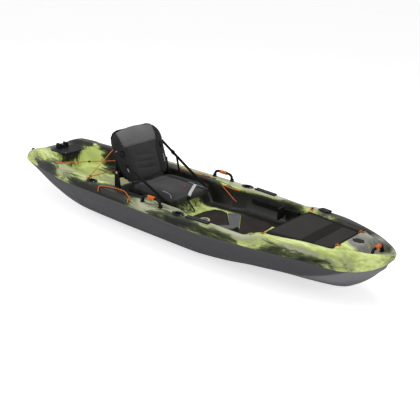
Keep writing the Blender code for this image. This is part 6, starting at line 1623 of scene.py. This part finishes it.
lie = (Matrix.Translation(start.lerp(end, BEAD_SHARE))
       @ (end - start).to_track_quat("Z", "Y").to_matrix().to_4x4())
bead = ringed("tank_cord_bead", round_rings(BEAD_RADIUS, -BEAD_HALF, BEAD_HALF, BEAD_ROUND),
              black_nylon, 24, lie)
belongs(bead, None, "cord")

# x and distance from the middle of each paddle cord's points, from aft forward
STARBOARD_LINE = ((-0.520, 0.400), (-0.472, 0.363), (-0.385, 0.346), (-0.324, 0.352),
                  (-0.262, 0.390))
PORT_LINE = ((-0.480, 0.385), (-0.430, 0.345), (-0.365, 0.324), (-0.267, 0.323), (-0.198, 0.327),
             (-0.150, 0.342))
PORT_END = ((-0.134, 0.352, 0.0048), (-0.133, 0.353, 0.0030), (-0.133, 0.353, TOUCH_GAP))
line = over_edge(-0.524, -1, 0.034)[::-1] + [on_top(x, -y) for x, y in STARBOARD_LINE]
cord("paddle_cord_starboard", line + over_edge(-0.222, -1, 0.026), "paddle_bungee_starboard")
line = over_edge(-0.500, 1, 0.034)[::-1] + [on_top(x, y) for x, y in PORT_LINE]
cord("paddle_cord_port", line + [on_top(*spot) for spot in PORT_END], "paddle_bungee_port")


def wall_y(x, z):
    """Half width between the footwell's walls at a height between their two turns."""
    mouth = min(well(x, 1), half_breadth(x) - GUNWALE_LAND)
    floor = min(well(x, 2), mouth - LEAST_LEAN)
    lean, top, floor_z = mouth - floor, gunwale_z(x), well(x, 3)
    (y1, z1), (y2, z2) = (mouth, top - WALL_TOP), (mouth - lean / 4, (top + floor_z) / 2)
    y3, z3 = floor + lean / 4, floor_z + WALL_FOOT
    if z > z2:
        return y2 + (y1 - y2) * (z - z2) / (z1 - z2)
    return y3 + (y2 - y3) * (z - z3) / (z2 - z3)


WALL_OFF = 0.0042
WALL_LINE = ((0.190, 0.322), (0.150, 0.324), (0.046, 0.329), (0.038, 0.324), (0.044, 0.318),
             (0.100, 0.286), (0.150, 0.257), (0.178, 0.240))
cord("wall_cord", [(x, wall_y(x, z) - WALL_OFF, z) for x, z in WALL_LINE], "wall_bungee")
TETHER = 0.0050
foot = Vector((0.010, 0.012, FOOT_FLOOR_Z + TOUCH_GAP))
start = Vector((-0.011, -0.026, 0.285 - TOUCH_GAP))
line = [start, start - Vector((0, 0, 0.012)), foot + Vector((0, 0, 0.020)), foot]
cord("front_tether", line, "seat_front_tether", False, TETHER, black_braid, "black_cord")

# Bow well cover: PVC-coated nylon over a stiff foam core, stretched down on its ledge by a
# cord in the rebate under its lip. The lip is double stitched, and so is a band across it,
# which is darker. The coating is dull, with a fine grain.
COVER_REAR = 0.807
cover_cloth, tree, shader = material("coated_nylon_cloth", Roughness=0.66,
                                     Specular_IOR_Level=0.05)
place = node(tree, "ShaderNodeTexCoord").outputs["Object"]
skin = node(tree, "ShaderNodeAttribute", attribute_name=CLOTH_TONE_AND_SHADE)
worn = node(tree, "ShaderNodeTexNoise", [("Vector", place)], in_Scale=6.0, in_Detail=4.0)
worn = node(tree, "ShaderNodeMapRange", [("Value", worn)], in_1=0.3, in_2=0.7, in_3=0.90,
            in_4=1.08)
tint = node(tree, "ShaderNodeMix", [("Factor", skin.outputs["Fac"])], data_type="RGBA",
            in_6=colour("#373533"), in_7=colour("#1d1b1b"))
tint = node(tree, "ShaderNodeVectorMath", [(0, tint.outputs[2]), ("Scale", worn)],
            operation="SCALE")
grain = node(tree, "ShaderNodeTexVoronoi", [("Vector", place)], in_Scale=900.0)
bump = node(tree, "ShaderNodeBump", [("Height", grain)], in_Strength=0.3, in_Distance=0.0005)
feed(tree, shader, [("Base Color", tint), ("Normal", bump)])
COVER_BAND = (1.035, 1.115)
COVER_LOW = BRIDGE_Z + TOUCH_GAP
COVER_MIDDLE = COVER_LOW + 0.008
COVER_RISE, COVER_CROWN, BAND_DENT, HEM_DENT = 0.0052, 0.0030, 0.0012, 0.0008
# Insets and heights of the lip's rings, down its side, in under it and down to the ledge
COVER_LIP = ((-0.0008, COVER_MIDDLE + 0.0040), (-0.0008, COVER_MIDDLE + 0.0012),
             (0.0002, COVER_MIDDLE), (0.0090, COVER_MIDDLE), (0.0090, COVER_LOW))
LIP_STITCHES, BAND_APART = (0.0085, 0.0125), 0.005
WIDE, NARROW = 0.262, 0.196
CORNER_DRAW, END_BOW, CORNER_POWER = 0.045, 0.006, 14
HEM_ALONG, HEM_ACROSS = 0.945, 0.86


def cover_point(u, v, inset):
    """Plan of the cover at shares along and across, drawn in by inset."""
    x = (COVER_REAR + inset) + (COVER_FRONT - COVER_REAR - 2 * inset) * (u + 1) / 2
    half = WIDE - inset + (NARROW - WIDE) * (x - COVER_REAR) / (COVER_FRONT - COVER_REAR)
    y = half * v * (1 - CORNER_DRAW * abs(u) ** CORNER_POWER)
    x -= END_BOW * (u ** 3) * abs(v) ** CORNER_POWER
    return x, y


shares, faces, rim = sheet_grid(108, 60)
verts, tones = [], []
for u, v in shares:
    x, y = cover_point(u, v, 0.0)
    crown = COVER_CROWN * (1 - u ** 4) * (1 - v ** 4)
    shaded_hem = abs(u) > HEM_ALONG or abs(v) > HEM_ACROSS
    sewn = sum(dent(x - edge, 0.0030) for edge in COVER_BAND)
    z = COVER_MIDDLE + COVER_RISE + crown - BAND_DENT * sewn - (HEM_DENT if shaded_hem else 0.0)
    verts.append((x, y, z))
    # The band is darker cloth; the hem along the edges is painted dark, as painted shade where the
    # cover's edge drops to its ledge.
    tones.append(1.0 if COVER_BAND[0] < x < COVER_BAND[1] or shaded_hem else 0.05)
last = rim
for inset, z in COVER_LIP:
    ring = list(range(len(verts), len(verts) + len(rim)))
    verts += [(*cover_point(*shares[k], inset), z) for k in rim]
    faces += band(last, ring)
    last = ring
faces.append(tuple(last))
# The lip's sides and underside are painted dark too: painted shade.
tones += [1.0] * (len(verts) - len(tones))
mesh = bpy.data.meshes.new("bow_cover_cloth")
mesh.from_pydata(verts, [], faces)
outward(mesh)
mesh.attributes.new(CLOTH_TONE_AND_SHADE, "FLOAT", "POINT").data.foreach_set("value", tones)
cover = add_object("bow_cover_cloth", mesh, cover_cloth, 40.0)
belongs(cover, "bow_cover", "cover", "bow_cover")
lines = []
corners = [(-1, -1), (1, -1), (1, 1), (-1, 1), (-1, -1)]
for inset in LIP_STITCHES:
    line = [(*cover_point(u1 + (u2 - u1) * t, v1 + (v2 - v1) * t, inset), COVER_MIDDLE + 0.01)
            for (u1, v1), (u2, v2) in zip(corners, corners[1:]) for t in np.linspace(0.03, 0.97, 40)]
    lines.append(line + line[:1])
for edge in COVER_BAND:
    for away in (-BAND_APART, BAND_APART):
        share = 2 * (edge + away - COVER_REAR) / (COVER_FRONT - COVER_REAR) - 1
        lines.append([(*cover_point(share, v, 0.0), COVER_MIDDLE + 0.01)
                      for v in np.linspace(-0.93, 0.93, 50)])
stitched("bow_cover_stitches", cover, lines, "cover", "bow_cover")

# Cover hooks and cord: four nylon posts on the deck hold a closed 5 mm shock cord that runs
# in the rebate under the cover's lip.
REAR_HOOK, FRONT_HOOK = (0.815, 0.290), (1.276, 0.146)
for side_name, side in SIDES:
    for place_name, (x, y), z in (("rear_", REAR_HOOK, gunwale_z(REAR_HOOK[0])),
                                  ("front_", FRONT_HOOK, PANEL_Z)):
        deck_hook("cover_post_" + place_name + side_name, "cover_hook_" + place_name + side_name,
                  x, side * y, z)
COVER_CORD, CORD_INSET = 0.0025, 0.0045
low = BRIDGE_Z + 2 * TOUCH_GAP + COVER_CORD
wrap = HOOK_WAIST + COVER_CORD + 2 * TOUCH_GAP
on_hook = HOOK_LIFT + HOOK_BASE + COVER_CORD + 2 * TOUCH_GAP
rear, front = COVER_REAR + CORD_INSET, COVER_FRONT - CORD_INSET
wide, narrow = WIDE - CORD_INSET, NARROW - CORD_INSET
x, y = REAR_HOOK
z = gunwale_z(x) + on_hook
half = [(rear, 0.0, low), (rear, wide - 0.050, low), (rear, wide - 0.030, low),
        (COVER_REAR + 0.0015, wide - 0.018, low), (COVER_REAR - 0.0025, wide - 0.005, low + 0.002),
        (x - wrap - 0.001, y - 0.022, low + 0.010), (x - wrap, y - 0.008, z)]
half += turn_round(x, y, z, wrap, 180, 0, 4)
half += [(x + wrap, y - 0.008, z), (x + wrap + 0.001, y - 0.0195, low + 0.011),
         (x + 0.014, wide + 0.009, low + 0.004), (x + 0.024, wide + 0.0035, low),
         (x + 0.045, wide - 0.0035, low)]
x, y = FRONT_HOOK
z = PANEL_Z + on_hook
step = COVER_FRONT + 0.010
climb = [(0.018, front, low), (0.014, COVER_FRONT + 0.0042, low + 0.003),
         (0.011, step, low + 0.018), (0.009, step + 0.006, z - 0.001), (wrap, x - 0.006, z)]
half += [(front - 0.020, narrow + 0.002, low), (front, narrow - 0.020, low)]
half += [(px, y + away, pz) for away, px, pz in climb]
half += turn_round(x, y, z, wrap, 90, -90, 4)
half += [(px, y - away, pz) for away, px, pz in climb[::-1]] + [(front, 0.0, low)]
line = half + [(px, -py, pz) for px, py, pz in half[-2:0:-1]]
cord("bow_cover_cord_braid", line, "bow_cover_cord", True, COVER_CORD)

# Bow plate: an oval of moulded black nylon with a rounded edge, set flat on the bow panel
# ahead of the cover.
finished("bow_badge_plate", "bow_plate", black_nylon, "black_plastic", width=0.0008)
